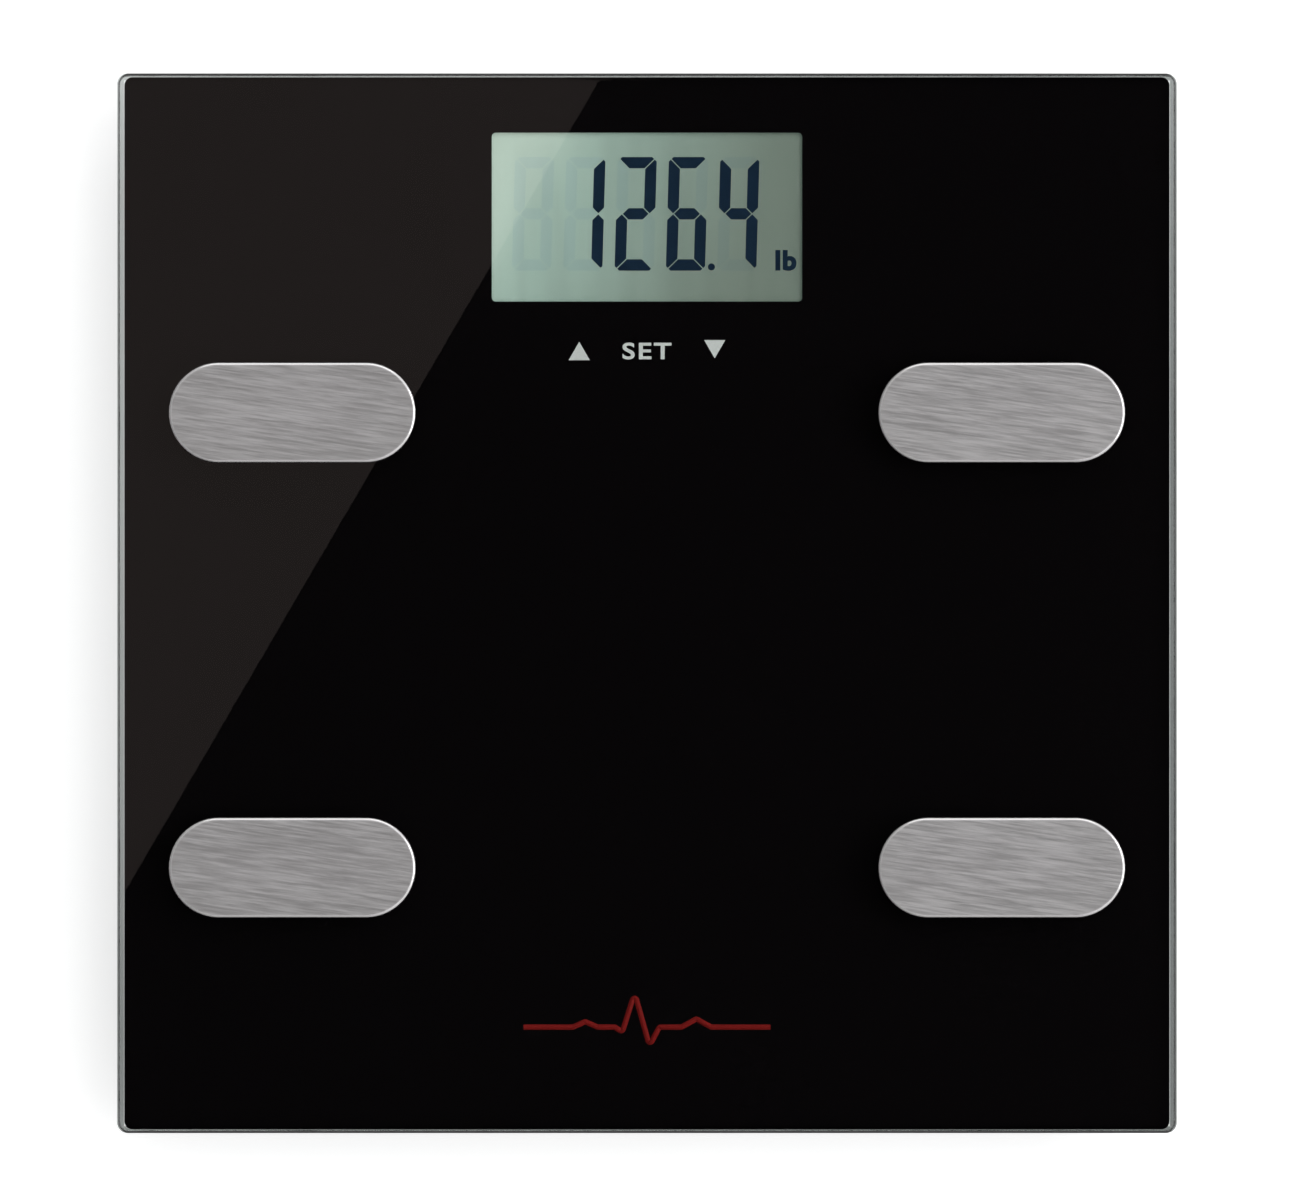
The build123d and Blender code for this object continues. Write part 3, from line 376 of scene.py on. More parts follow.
def circle_points(centre, radius, steps):
    """Points round a circle, anticlockwise."""
    x, y = centre
    turns = [2 * math.pi * i / steps for i in range(steps)]
    return [(x + radius * math.cos(a), y + radius * math.sin(a)) for a in turns]


def turned_shape(name, profile, centre, steps=72):
    """A solid turned about a vertical, from (radius, height) pairs that start and end on it."""
    work = bmesh.new()
    rings = []
    for radius, height in profile:
        spots = circle_points(centre, radius, steps) if radius > 0 else [centre]
        rings.append([work.verts.new((*spot, height)) for spot in spots])
    for low, high in zip(rings, rings[1:]):
        for i in range(steps):
            j = (i + 1) % steps
            corners = [low[i % len(low)], low[j % len(low)], high[j % len(high)], high[i % len(high)]]
            work.faces.new(list(dict.fromkeys(corners)))
    bmesh.ops.recalc_face_normals(work, faces=work.faces)
    return from_bmesh(name, work)


def smooth_by_angle(piece, limit=math.radians(35)):
    """Shades smoothly across edges that turn less than a limit."""
    work = bmesh.new()
    work.from_mesh(piece.data)
    for face in work.faces:
        face.smooth = True
    for edge in work.edges:
        edge.smooth = len(edge.link_faces) == 2 and edge.calc_face_angle(0.0) < limit
    work.to_mesh(piece.data)
    work.free()


def coat(piece, *finishes):
    """Gives a piece or a CAD node its materials, in place of those it had."""
    piece.data.materials.clear()
    for finish in finishes:
        piece.data.materials.append(finish.material)
    return piece


def coat_nodes(finish, *nodes):
    """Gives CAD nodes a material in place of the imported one."""
    for node in nodes:
        coat(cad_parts[node], finish)


def islands(mesh):
    """Number of the separate solid that each face of a CAD mesh belongs to, in order of place."""
    work = bmesh.new()
    work.from_mesh(mesh)
    work.faces.ensure_lookup_table()
    keys = {}
    parent = list(range(len(work.faces)))

    def root(i):
        while parent[i] != i:
            parent[i] = parent[parent[i]]
            i = parent[i]
        return i

    for face in work.faces:
        for vert in face.verts:
            key = tuple(round(part, 6) for part in vert.co)
            parent[root(face.index)] = root(keys.setdefault(key, face.index))
    roots = [root(i) for i in range(len(work.faces))]
    places = {}
    for face, owner in zip(work.faces, roots):
        centre = face.calc_center_median()
        spot = (round(centre.x, 4), round(centre.y, 4), round(centre.z, 4))
        places[owner] = min(places.get(owner, spot), spot)
    work.free()
    order = {owner: i for i, owner in enumerate(sorted(places, key=places.get))}
    return [order[owner] for owner in roots]


def coat_in_turn(node, finishes):
    """Gives the separate solids of a CAD node materials in turn."""
    mesh = coat(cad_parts[node], *finishes).data
    numbers = islands(mesh)
    mesh.polygons.foreach_set("material_index", [number % len(finishes) for number in numbers])


def settle(piece, body, replaced=()):
    """Puts a piece on its body and hides the nodes it stands for."""
    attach(piece, body)
    if replaced:
        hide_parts(*replaced)
    return piece


def word_piece(name, text, width, height, centre, level, thickness, boldness=0.02, spacing=1.15):
    """A short word as a closed mesh, fitted to a width and height about its centre."""
    curve = bpy.data.curves.new(name, "FONT")
    curve.body, curve.offset, curve.space_character = text, boldness, spacing
    curve.extrude, curve.resolution_u = 0.5, 6
    holder = new_piece(name + "_curve", curve)
    bpy.context.view_layer.update()
    mesh = bpy.data.meshes.new_from_object(holder.evaluated_get(bpy.context.evaluated_depsgraph_get()))
    bpy.data.objects.remove(holder)
    work = bmesh.new()
    work.from_mesh(mesh)
    bpy.data.meshes.remove(mesh)
    low, high = (Vector(map(end, zip(*[vert.co for vert in work.verts]))) for end in (min, max))
    goal = Vector((width, height, thickness))
    corner = Vector((centre[0] - width / 2, centre[1] - height / 2, level))
    for vert in work.verts:
        vert.co = corner + Vector((vert.co[i] - low[i]) / (high[i] - low[i]) * goal[i] for i in range(3))
    bmesh.ops.remove_doubles(work, verts=work.verts, dist=1e-7)
    bmesh.ops.recalc_face_normals(work, faces=work.faces)
    for face in work.faces:
        face.material_index = 0
    return from_bmesh(name, work)


def middle(node):
    low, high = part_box(node)
    return (low + high) / 2


def settings(name):
    return getattr(bpy.context.scene, "scale_" + name)


# ---------------------------------------------------------------- glass and print
def clear_glass():
    sizes = settings("glass")
    glass = Finish("clear_glass", IOR=1.46, Transmission_Weight=1.0)
    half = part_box("glass_platform")[1].x
    from_middle = glass.axis("X").size().larger(glass.axis("Y").size())
    rim = from_middle.rise(half - sizes.rim_width, half - 0.8 * sizes.rim_width)
    # Painted shade on the clear rim: its tint is darkened all along, painted lighter towards the rear left
    # and darker towards the front right
    lighter = (glass.axis("Y") - glass.axis("X") + glass.noise(30.0) * 0.06).rise(-0.12, 0.3)
    shade_painted = glass.blend(lighter, sizes.rim_shade, sizes.rim_tint)
    glass.feed(Base_Color=glass.blend(rim, sizes.tint, shade_painted))
    smears = glass.noise(38.0, 3.0, 0.6).rise(0.62, 0.86, 0.0, 0.018)
    glass.feed(Roughness=smears + rim * 0.06)
    glass.shine_through(tuple(part**2 for part in sizes.tint))
    return glass


def back_print():
    ink = Finish("back_print", IOR=1.3, Specular_IOR_Level=0.03)
    return ink.cover(settings("glass").print_tone, ink.noise(900.0), (0.7, 1.3), (0.2, 0.8, 0.3, 0.42))


def screen_ink(name, tone):
    """Screen-printed ink with the faint unevenness of a print."""
    ink = Finish(name, Roughness=0.45, IOR=1.3, Specular_IOR_Level=0.1)
    return ink.cover(tone, ink.noise(420.0, 3.0, 0.6), (0.88, 1.06), relief=(0.00001, 0.3))


def arrow_outline(centre, width, height, up):
    x, y = centre
    tip = height / 2 if up else -height / 2
    outline = [(x - width / 2, y - tip), (x + width / 2, y - tip), (x, y + tip)]
    return outline if up else outline[::-1]


def pulse_points(width, height, centre):
    """A plain heartbeat trace: flat, small wave, sharp beat, small wave, flat."""
    trace = [
        (-0.5, 0.0), (-0.3, 0.0), (-0.25, 0.16), (-0.2, 0.0), (-0.13, 0.0), (-0.1, -0.14),
        (-0.05, 1.0), (0.01, -0.55), (0.05, 0.0), (0.14, 0.0), (0.2, 0.24), (0.26, 0.0), (0.5, 0.0),
    ]
    scale = height / 1.55
    return [(width * x, centre + scale * (y - 0.22)) for x, y in trace]


def ribbon_shaper():
    """Flat ribbon along a polyline, with its corners rounded."""
    shaper = Shaper("Ribbon", {"Stroke": "Float", "Thickness": "Float", "Bend": "Float"})
    line = shaper.node("GeometryNodeMeshToCurve", inputs={0: shaper.given("Geometry")})
    inputs = {"Curve": line, "Radius": shaper.given("Bend"), "Count": 5, "Limit Radius": True}
    bent = shaper.node("GeometryNodeFilletCurve", {"mode": "POLY"}, inputs)
    upright = shaper.node("GeometryNodeSetCurveNormal", {"mode": "Z_UP"}, {"Curve": bent})
    inputs = {"Width": shaper.given("Stroke"), "Height": shaper.given("Thickness")}
    profile = shaper.node("GeometryNodeCurvePrimitiveQuadrilateral", inputs=inputs)
    inputs = {"Curve": upright, "Profile Curve": profile, "Fill Caps": True}
    return shaper.finish(shaper.node("GeometryNodeCurveToMesh", inputs=inputs))


class SCALE_OT_glass(bpy.types.Operator):
    """Glass platform and the black print sunk into its back"""

    bl_idname = "bathroom_scale.glass"
    bl_label = "Glass and back print"

    def execute(self, context):
        coat_nodes(clear_glass(), "glass_platform")
        glass = settings("glass")
        printed = copy_of_node("back_film", "printed_back")
        low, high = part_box("back_film")
        for vert in printed.data.vertices:
            if vert.co.z > high.z - 1e-6:
                vert.co.z += glass.print_bite
            if abs(vert.co.y) > high.y - 5 * MM:
                vert.co.y += math.copysign(glass.print_bleed, vert.co.y)
        coat(printed, back_print())
        settle(printed, "base", ["back_film"])
        return {"FINISHED"}


class SCALE_OT_marks(bpy.types.Operator):
    """Key marks and pulse line, printed between the glass and the black"""

    bl_idname = "bathroom_scale.marks"
    bl_label = "Key marks and pulse line"

    def execute(self, context):
        glass = settings("glass")
        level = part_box("glass_platform")[0].z + glass.print_bite - 0.01 * MM
        sheet = 0.04 * MM
        ink = screen_ink("key_ink", glass.ink_tone)
        up, down = middle("touch_spring_up"), middle("touch_spring_down")
        outlines = [
            arrow_outline((up.x, up.y), glass.mark_width, glass.mark_height, True),
            arrow_outline((down.x, down.y + glass.mark_lift), glass.mark_width, glass.mark_height, False),
        ]
        settle(coat(plates("arrow_marks", outlines, level, sheet), ink), "base")
        centre = middle("touch_spring_set").xy
        word = word_piece("set_mark", "SET", glass.word_width, glass.word_height, centre, level, sheet)
        settle(coat(word, ink), "base")
        points = pulse_points(glass.pulse_width, glass.pulse_height, glass.pulse_centre)
        work = bmesh.new()
        verts = [work.verts.new((x, y, level + sheet / 2)) for x, y in points]
        for pair in zip(verts, verts[1:]):
            work.edges.new(pair)
        pulse = from_bmesh("pulse_line", work)
        red = screen_ink("pulse_ink", glass.pulse_tone).material
        ribbon_shaper().grow(pulse, stroke=glass.pulse_stroke, thickness=sheet, bend=0.6 * MM, material=red)
        settle(pulse, "base")
        return {"FINISHED"}


# ---------------------------------------------------------------- display
# Segments that are on for each digit: top, upper left, upper right, middle, lower left, lower right, bottom
DIGITS = {
    "0": "1110111", "1": "0010010", "2": "1011101", "3": "1011011", "4": "0111010",
    "5": "1101011", "6": "1101111", "7": "1010010", "8": "1111111", "9": "1111011",
}


def segment_outlines(display):
    """The seven segments of one digit as anticlockwise outlines, from its lower left corner."""
    width, height, stroke = display.digit_width, display.digit_height, display.stroke
    gap, cut, half, mid = display.gap, display.chamfer, display.stroke / 2, display.digit_height / 2
    edge = 0.35 * gap
    mitre_foot = (stroke + 2 * edge, height - stroke)
    left_mitre = [(cut, height), (cut / 2 + edge, height - cut / 2 + edge), mitre_foot]
    top = left_mitre + [(width - x, y) for x, y in reversed(left_mitre)]
    upper_left = [
        (0, height - cut), (0, mid + gap / 2 + half), (half, mid + gap / 2), (stroke, mid + gap / 2 + half),
        (stroke, height - stroke - 2 * edge), (cut / 2 - edge, height - cut / 2 - edge),
    ]
    tip = [(stroke + gap, mid + half), (half + gap, mid), (stroke + gap, mid - half)]
    bar = tip + [(width - x, y) for x, y in reversed(tip)]
    across = [(width - x, y) for x, y in reversed(upper_left)]
    below = [[(x, height - y) for x, y in reversed(shape)] for shape in (upper_left, across, top)]
    return [top, upper_left, across, bar, *below]


def display_places(display, window_left, window_top):
    """Left edge and foot of the digits, first to last, with one unused place in front."""
    foot = window_top - display.digit_top - display.digit_height
    count = len(display.reading.replace(".", "")) + 1
    left = window_left + display.last_digit
    return [(left - (count - 1 - i) * display.pitch, foot) for i in range(count)]


def slanted(outline, place, display):
    x0, y0 = place
    lean = math.tan(display.slant)
    return [(x0 + x + (y - display.digit_height / 2) * lean, y0 + y) for x, y in outline]


def display_background(finish, dim, cast):
    """The display's background: bright at the left and dull at the right as painted light, with soft upright
    streaks and a painted shadow along its rear edge.
    """
    display = settings("display")
    low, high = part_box("lcd_polariser")
    across = finish.axis("X") + (finish.axis("Y") - middle("lcd_polariser").y) * -0.35
    painted_light_share = across.rise(low.x + 4 * MM, high.x - 6 * MM)
    streaks = finish.noise(95.0, 2.0, 0.5, (1.0, 0.12, 1.0))
    tones = []
    for tone in (display.left_tone, display.right_tone):
        tones.append(tuple(dim * part * tint for part, tint in zip(tone, cast)))
    plain = finish.blend(painted_light_share, tones[0], tones[1])
    darker = finish.blend(painted_light_share, *[tuple(0.84 * part for part in tone) for tone in tones])
    # Painted shadow of the print's edge along the display's rear edge
    rear_shade = (high.y - 1.1 * MM - finish.axis("Y")).rise(0.0, 2.2 * MM, 0.9, 0.0)
    return finish.blend(streaks.rise(0.35, 0.7, 0.0, 0.6).larger(rear_shade), plain, darker)


def display_face(name, dim=1.0, cast=(1.0, 1.0, 1.0), glow=(0.8, 1.35, 1.2)):
    """The background's film, half mirror, with a faint glow of painted light; a segment that is off is a
    little dimmer.
    """
    face = Finish(name, Roughness=0.05, IOR=1.8, Metallic=0.6, Emission_Strength=0.06)
    face.feed(Base_Color=display_background(face, dim, cast))
    # The emission is painted light: the display has no lamp of its own
    face.feed(Emission_Color=display_background(face, dim, glow))
    return face


def lit_face():
    lit = Finish("lit_segment", Roughness=0.3, IOR=1.3, Specular_IOR_Level=0.1)
    return lit.cover(settings("display").lit_tone, lit.noise(300.0), (0.85, 1.15))


def display_glass():
    glass = Finish("display_glass", Base_Color=(0.9, 0.95, 0.92), IOR=1.45, Transmission_Weight=1.0)
    glass.feed(Roughness=glass.noise(60.0, 2.0).rise(0.4, 0.9, 0.0, 0.04))
    glass.shine_through((0.85, 0.9, 0.87))
    return glass


class SCALE_OT_display(bpy.types.Operator):
    """Display stack and the segments of its reading"""

    bl_idname = "bathroom_scale.display"
    bl_label = "Display"

    def execute(self, context):
        display = settings("display")
        coat_nodes(display_face("display_face"), "lcd_polariser")
        coat_nodes(display_glass(), "lcd_panel")
        coat_nodes(satin_film(), "lcd_reflector")
        coat_nodes(moulded("bezel_plastic", (0.62, 0.62, 0.6), 1.0), "lcd_bezel")
        coat_nodes(zebra_rubber(), "zebra_strip")
        low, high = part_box("lcd_polariser")
        overlap = 1.1 * MM
        window_left, window_top = low.x + overlap, high.y - overlap
        shapes = segment_outlines(display)
        places = display_places(display, window_left, window_top)
        digits = display.reading.replace(".", "")
        ghosts, lit = [], []
        for place, digit in zip(places, " " + digits):
            mask = DIGITS.get(digit, "0000000")
            for shape, on in zip(shapes, mask):
                (lit if on == "1" else ghosts).append(slanted(shape, place, display))
        if "." in display.reading:
            x, y = places[display.reading.index(".") + 1]
            radius, shift, lift = 1.0 * MM, 0.35 * MM, 1.05 * MM
            dot = (x - (display.pitch - display.digit_width) / 2 - shift, y + lift)
            lit.append(circle_points(dot, radius, 20))
        # Ghost segments carry the same painted light and painted glow, a little dimmer
        ghost_face = display_face("ghost_segment", 0.94, (0.97, 1.0, 1.05), (0.8, 1.35, 1.25))
        level, sheet = high.z, 0.03 * MM
        for name, outlines, thickness, finish in (
            ("ghost_segments", ghosts, 0.4 * sheet, ghost_face),
            ("lit_segments", lit, sheet, lit_face()),
        ):
            settle(coat(plates(name, outlines, level, thickness), finish), "base")
        width, height = 6.0 * MM, 5.9 * MM
        centre = (window_left + 83.4 * MM, places[-1][1] + 2.9 * MM)
        unit = word_piece("unit_mark", "lb", width, height, centre, level, sheet, boldness=0.045, spacing=1.1)
        settle(coat(unit, lit_face()), "base")
        return {"FINISHED"}


# ---------------------------------------------------------------- common finishes
def moulded(name, tone, gloss=0.0, texture=1.0):
    """Moulded plastic: fine spark texture, faint flow clouds and small scuffs."""
    plastic = Finish(name, IOR=1.48)
    cloud = plastic.noise(22.0, 3.0, 0.55)
    scuffs = plastic.noise(160.0, 4.0, 0.7, (1.0, 0.25, 1.0), (0, 0, 0.6)).rise(0.66, 0.8)
    base = plastic.shaded(tone, cloud, 0.93, 1.07)
    worn = tuple(min(1.0, 1.35 * part + 0.01) for part in tone)
    plastic.feed(Base_Color=plastic.blend(scuffs * 0.5, base, worn))
    plastic.feed(Roughness=cloud.rise(0.3, 0.7, 0.52 - 0.3 * gloss, 0.62 - 0.3 * gloss) + scuffs * 0.08)
    grain = plastic.specks(2600.0) * 0.7 + plastic.noise(3200.0, 2.0) * 0.3
    plastic.bump(grain, 0.00003, 0.45 * texture)
    return plastic


def rubber(name, tone):
    soft = Finish(name, IOR=1.45)
    cloud = soft.noise(60.0, 3.0)
    dust = soft.noise(240.0, 3.0, 0.65).rise(0.55, 0.8)
    pale = tuple(min(1.0, part + 0.06) for part in tone)
    soft.feed(Base_Color=soft.blend(dust * 0.4, soft.shaded(tone, cloud, 0.85, 1.1), pale))
    soft.feed(Roughness=cloud.rise(0.3, 0.7, 0.75, 0.9))
    soft.bump(soft.noise(2800.0, 2.0), 0.00003, 0.4)
    return soft


def brushed_steel():
    """Stainless steel brushed almost along the plate, with a polished rim."""
    metal = settings("metal")
    tone = metal.steel_tone
    turn = (0.0, 0.0, metal.brush_angle)
    steel = Finish("brushed_steel", Metallic=1.0)
    long_lines = steel.noise(130.0, 3.0, 0.6, (0.6, 11.0, 1.0), turn)
    fine_lines = steel.noise(520.0, 3.0, 0.7, (0.2, 5.0, 1.0), turn)
    lines = long_lines * 0.5 + fine_lines * 0.5
    cloud = steel.noise(26.0, 2.0)
    flat = steel.facing("Z").rise(0.9, 0.995)
    face = steel.shaded(tone, (lines + (cloud - 0.5) * 0.2).rise(0.33, 0.67), 0.91, 1.1)
    rim = tuple(0.85 * part for part in tone)
    steel.feed(Base_Color=steel.blend(flat, rim, face))
    rough = lines.rise(0.35, 0.65, 0.33, 0.4)
    steel.feed(Roughness=flat * (rough - 0.17) + 0.17)
    steel.bump(lines * flat, 0.00004, metal.brush_depth)
    return steel


def plated(name, tone, low=0.2, high=0.36):
    """Plated metal with fine tool lines and faint tarnish."""
    metal = Finish(name, Metallic=1.0)
    cloud = metal.noise(120.0, 4.0, 0.6)
    lines = metal.noise(900.0, 2.0, 0.5, (1.0, 0.2, 0.2))
    metal.bump(lines, 0.00001, 0.25)
    return metal.cover(tone, cloud, (0.82, 1.12), (0.3, 0.7, low, high))


def foam(name, tone):
    """Closed-cell foam with small pores."""
    soft = Finish(name, IOR=1.4)
    pores = soft.specks(1500.0)
    soft.feed(Base_Color=soft.shaded(tone, pores.rise(0.0, 0.5), 0.7, 1.05))
    soft.feed(Roughness=pores.rise(0.0, 0.6, 0.95, 0.8))
    soft.bump(pores, 0.0001, 0.6)
    return soft


def satin_film():
    film = Finish("satin_film", IOR=1.4)
    return film.cover((0.5, 0.56, 0.5), film.noise(1400.0), (0.92, 1.05), (0.3, 0.7, 0.35, 0.5))


def zebra_rubber():
    """Silicone strip with fine conducting layers across it."""
    strip = Finish("zebra_rubber", IOR=1.42, Roughness=0.6)
    pitch = 0.4 * MM
    layers = (strip.axis("X") * (2 * math.pi / pitch)).wave().rise(-0.2, 0.2)
    strip.feed(Base_Color=strip.blend(layers, (0.012, 0.012, 0.013), (0.3, 0.29, 0.27)))
    return strip


# ---------------------------------------------------------------- electrodes
class SCALE_OT_electrodes(bpy.types.Operator):
    """Steel electrodes with their pads, nuts and terminals"""

    bl_idname = "bathroom_scale.electrodes"
    bl_label = "Electrodes"

    def execute(self, context):
        coat_nodes(brushed_steel(), *["electrode_" + corner for corner in CORNERS])
        clear = Finish("clear_adhesive", IOR=1.45)
        bubbles = clear.specks(700.0).rise(0.0, 0.35)
        clear.cover((0.05, 0.05, 0.05), bubbles, (0.7, 1.1), (0, 1, 0.5, 0.3))
        coat_nodes(clear, "electrode_adhesive_pads")
        coat_nodes(plated("nickel_plate", (0.62, 0.59, 0.53)), "electrode_nuts")
        coat_nodes(plated("tinned_copper", (0.74, 0.7, 0.64), 0.3, 0.45), "electrode_ring_terminals")
        return {"FINISHED"}


# ---------------------------------------------------------------- tray, door and label
def row_shaper():
    """A row of copies of a shape, one behind the other."""
    shaper = Shaper("Row", {"Count": "Int", "Pitch": "Float"})
    step = shaper.vector(y=shaper.given("Pitch"))
    points = shaper.node("GeometryNodeMeshLine", inputs={"Count": shaper.given("Count"), "Offset": step})
    return shaper.copies(points, shaper.given("Geometry"))


class SCALE_OT_tray(bpy.types.Operator):
    """Base tray, battery door, label and tape"""

    bl_idname = "bathroom_scale.tray"
    bl_label = "Tray and door"

    def execute(self, context):
        plastic = moulded("tray_plastic", settings("underside").tray_tone)
        coat_nodes(plastic, "base_tray", "battery_door", "battery_door_latch")
        coat_nodes(foam("tape_foam", (0.66, 0.66, 0.63)), "bonding_tape")
        coat_nodes(foam("door_foam", (0.03, 0.03, 0.03)), "battery_door_foam")
        self.add_grip(plastic)
        self.add_label()
        return {"FINISHED"}

    def add_grip(self, plastic):
        """Moulded chevrons on the battery door that point at its latch."""
        low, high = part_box("battery_door")
        x, tip = (low.x + high.x) / 2, low.y + 17 * MM
        half, drop, stroke = 6.5 * MM, 4.5 * MM, 1.5 * MM
        stands_out, sunk_in = 0.3 * MM, 0.05 * MM
        right = [(x, tip), (x + half, tip + drop), (x + half, tip + drop + stroke), (x, tip + stroke)]
        outline = right + [(x - half, tip + drop + stroke), (x - half, tip + drop)]
        chevrons = plates("door_chevrons", [outline], low.z - stands_out, stands_out + sunk_in)
        row_shaper().grow(chevrons, count=3, pitch=3.2 * MM, material=plastic.material)
        settle(chevrons, "battery_door")

    def add_label(self):
        """Plain silver label in the tray's recess."""
        x, y = 0.0, middle("foot_front_left").y + 14 * MM
        half_x, half_y, corner = 31.4 * MM, 14.4 * MM, 1.6 * MM
        lift = thickness = 0.1 * MM
        outline, steps = [], 6
        for i, (side_x, side_y) in enumerate(((1, 1), (-1, 1), (-1, -1), (1, -1))):
            spot = Vector((x + side_x * (half_x - corner), y + side_y * (half_y - corner)))
            for k in range(steps + 1):
                turn = (i + k / steps) * math.pi / 2
                outline.append(spot + corner * Vector((math.cos(turn), math.sin(turn))))
        label = plates("blank_label", [outline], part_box("base_tray")[0].z + lift, thickness)
        foil = Finish("label_foil", Metallic=0.85)
        pitch = 5.2 * MM
        rule = ((foil.axis("Y") - y) * (2 * math.pi / pitch)).wave().rise(0.93, 0.97)
        inside = (foil.axis("X") - x).size().rise(half_x - 4 * MM, half_x - 3.8 * MM, 1.0, 0.0)
        grain = foil.noise(800.0, 2.0, 0.5, (0.1, 1.0, 1.0))
        silver = foil.shaded((0.6, 0.6, 0.61), grain, 0.9, 1.08)
        foil.feed(Base_Color=foil.blend(rule * inside, silver, (0.12, 0.12, 0.13)))
        foil.feed(Roughness=grain.rise(0.3, 0.7, 0.34, 0.46))
        settle(coat(label, foil), "base")


# ---------------------------------------------------------------- feet
def ring_shaper():
    """A ring of small blocks that stand between two radii."""
    sockets = {"Count": "Int", "Radius": "Float", "Size": "Vector", "Centre": "Vector"}
    shaper = Shaper("Ring of blocks", sockets)
    inputs = {"Vertices": shaper.given("Count"), "Radius": shaper.given("Radius")}
    circle = shaper.node("GeometryNodeMeshCircle", inputs=inputs)
    placed = shaper.node("GeometryNodeSetPosition", inputs={0: circle, "Offset": shaper.given("Centre")})
    block = shaper.node("GeometryNodeMeshCube", inputs={"Size": shaper.given("Size")})
    number = shaper.node("GeometryNodeInputIndex")
    turn = number * (2 * math.pi / shaper.given("Count"))
    rotation = shaper.node("FunctionNodeEulerToRotation", inputs={0: shaper.vector(z=turn)})
    return shaper.copies(placed, block, Rotation=rotation)


class SCALE_OT_feet(bpy.types.Operator):
    """Feet, their treaded pads, collars and collar screws"""

    bl_idname = "bathroom_scale.feet"
    bl_label = "Feet"

    def execute(self, context):
        underside = settings("underside")
        plastic = moulded("foot_plastic", underside.foot_tone, 0.6, 0.6)
        soft = rubber("pad_rubber", underside.rubber_tone)
        coat_nodes(plastic, "foot_collars", *["foot_" + corner for corner in CORNERS])
        coat_nodes(plated("zinc_screw", (0.55, 0.55, 0.56)), "collar_screws", "board_screws")
        shaper = ring_shaper()
        for corner in CORNERS:
            self.add_pad(corner, soft, shaper, underside)
        return {"FINISHED"}

    def add_pad(self, corner, soft, shaper, underside):
        """Rubber pad with a rolled edge, two grooves and a ring of tread blocks."""
        node = "foot_pad_" + corner
        low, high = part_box(node)
        x, y = (low.x + high.x) / 2, (low.y + high.y) / 2
        radius, depth = (high.x - low.x) / 2, underside.tread_depth
        roll = 0.6 * MM
        edge = [
            (radius - roll + roll * math.cos(a), low.z + roll - roll * math.sin(a))
            for a in [math.pi / 2 * i / 5 for i in range(5, -1, -1)]
        ]
        floor = low.z + depth
        lands = [(0.0, floor), (2.6 * MM, floor), (2.8 * MM, low.z), (4.6 * MM, low.z), (4.8 * MM, floor)]
        lands += [(11.4 * MM, floor), (11.6 * MM, low.z)]
        profile = lands + edge + [(radius, high.z), (0.0, high.z)]
        pad = turned_shape("pad_" + corner, profile, (x, y))
        smooth_by_angle(pad)
        settle(coat(pad, soft), "foot_" + corner, [node])
        blocks = new_piece("tread_" + corner)
        length, width, sunk_in = 5.2 * MM, 0.95 * MM, 0.04 * MM
        shaper.grow(
            blocks,
            count=underside.tread_count,
            radius=8.1 * MM,
            size=(length, width, depth + sunk_in),
            centre=(x, y, low.z + (depth + sunk_in) / 2),
            material=soft.material,
        )
        settle(blocks, "foot_" + corner)


# ---------------------------------------------------------------- load cells and leads
def insulation(name, tone):
    """Soft lead insulation."""
    jacket = Finish(name, IOR=1.45)
    jacket.bump(jacket.noise(700.0), 0.00002, 0.3)
    return jacket.cover(tone, jacket.noise(140.0, 3.0), (0.85, 1.1), (0.3, 0.7, 0.38, 0.52))


class SCALE_OT_load_cells(bpy.types.Operator):
    """Load cells, their gauges and every lead"""

    bl_idname = "bathroom_scale.load_cells"
    bl_label = "Load cells and leads"

    def execute(self, context):
        plate = Finish("ground_steel", Metallic=1.0)
        lines = plate.noise(420.0, 4.0, 0.65, (0.15, 5.0, 1.0), (0, 0, 0.35))
        plate.cover((0.5, 0.5, 0.5), lines, (0.75, 1.2), (0.3, 0.7, 0.3, 0.45), (0.00002, 0.4))
        coat_nodes(plate, *["load_cell_" + corner for corner in CORNERS])
        gel = Finish("gauge_silicone", IOR=1.41, Subsurface_Weight=0.2)
        gel.feed(Base_Color=gel.shaded((0.7, 0.7, 0.66), gel.noise(180.0, 3.0), 0.9, 1.05))
        gel.feed(Roughness=gel.noise(90.0, 2.0).rise(0.3, 0.7, 0.35, 0.5))
        coat_nodes(gel, "strain_gauges")
        red = insulation("red_lead", (0.42, 0.012, 0.01))
        white = insulation("white_lead", (0.7, 0.69, 0.65))
        black = insulation("black_lead", (0.012, 0.012, 0.013))
        yellow = insulation("yellow_lead", (0.62, 0.42, 0.02))
        coat_in_turn("load_cell_leads_left", [red, white, black])
        coat_in_turn("load_cell_leads_right", [red, white, black])
        coat_in_turn("electrode_leads", [yellow, white])
        coat_in_turn("battery_leads", [black, red])
        return {"FINISHED"}


# ---------------------------------------------------------------- board
def board_laminate():
    """Solder mask over copper tracks, with bare edges of the laminate."""
    board = Finish("board_laminate", IOR=1.5)
    tracks = board.node(
        "ShaderNodeTexBrick",
        {"offset": 0.37, "squash": 1.7, "squash_frequency": 3},
        {"Vector": board.place, "Scale": 90.0, "Mortar Size": 0.012, "Row Height": 0.11, "Brick Width": 0.9},
        output="Fac",
    )
    cloud = board.noise(70.0, 2.0)
    mask = board.shaded((0.012, 0.085, 0.022), cloud, 0.85, 1.15)
    copper = (0.03, 0.17, 0.05)
    edge = board.facing("Z").size().rise(0.4, 0.6)
    board.feed(Base_Color=board.blend(edge, (0.33, 0.3, 0.16), board.blend(tracks, mask, copper)))
    board.feed(Roughness=edge * -0.35 + cloud * 0.1 + 0.65)
    board.bump(tracks, 0.00003, 0.5)
    return board


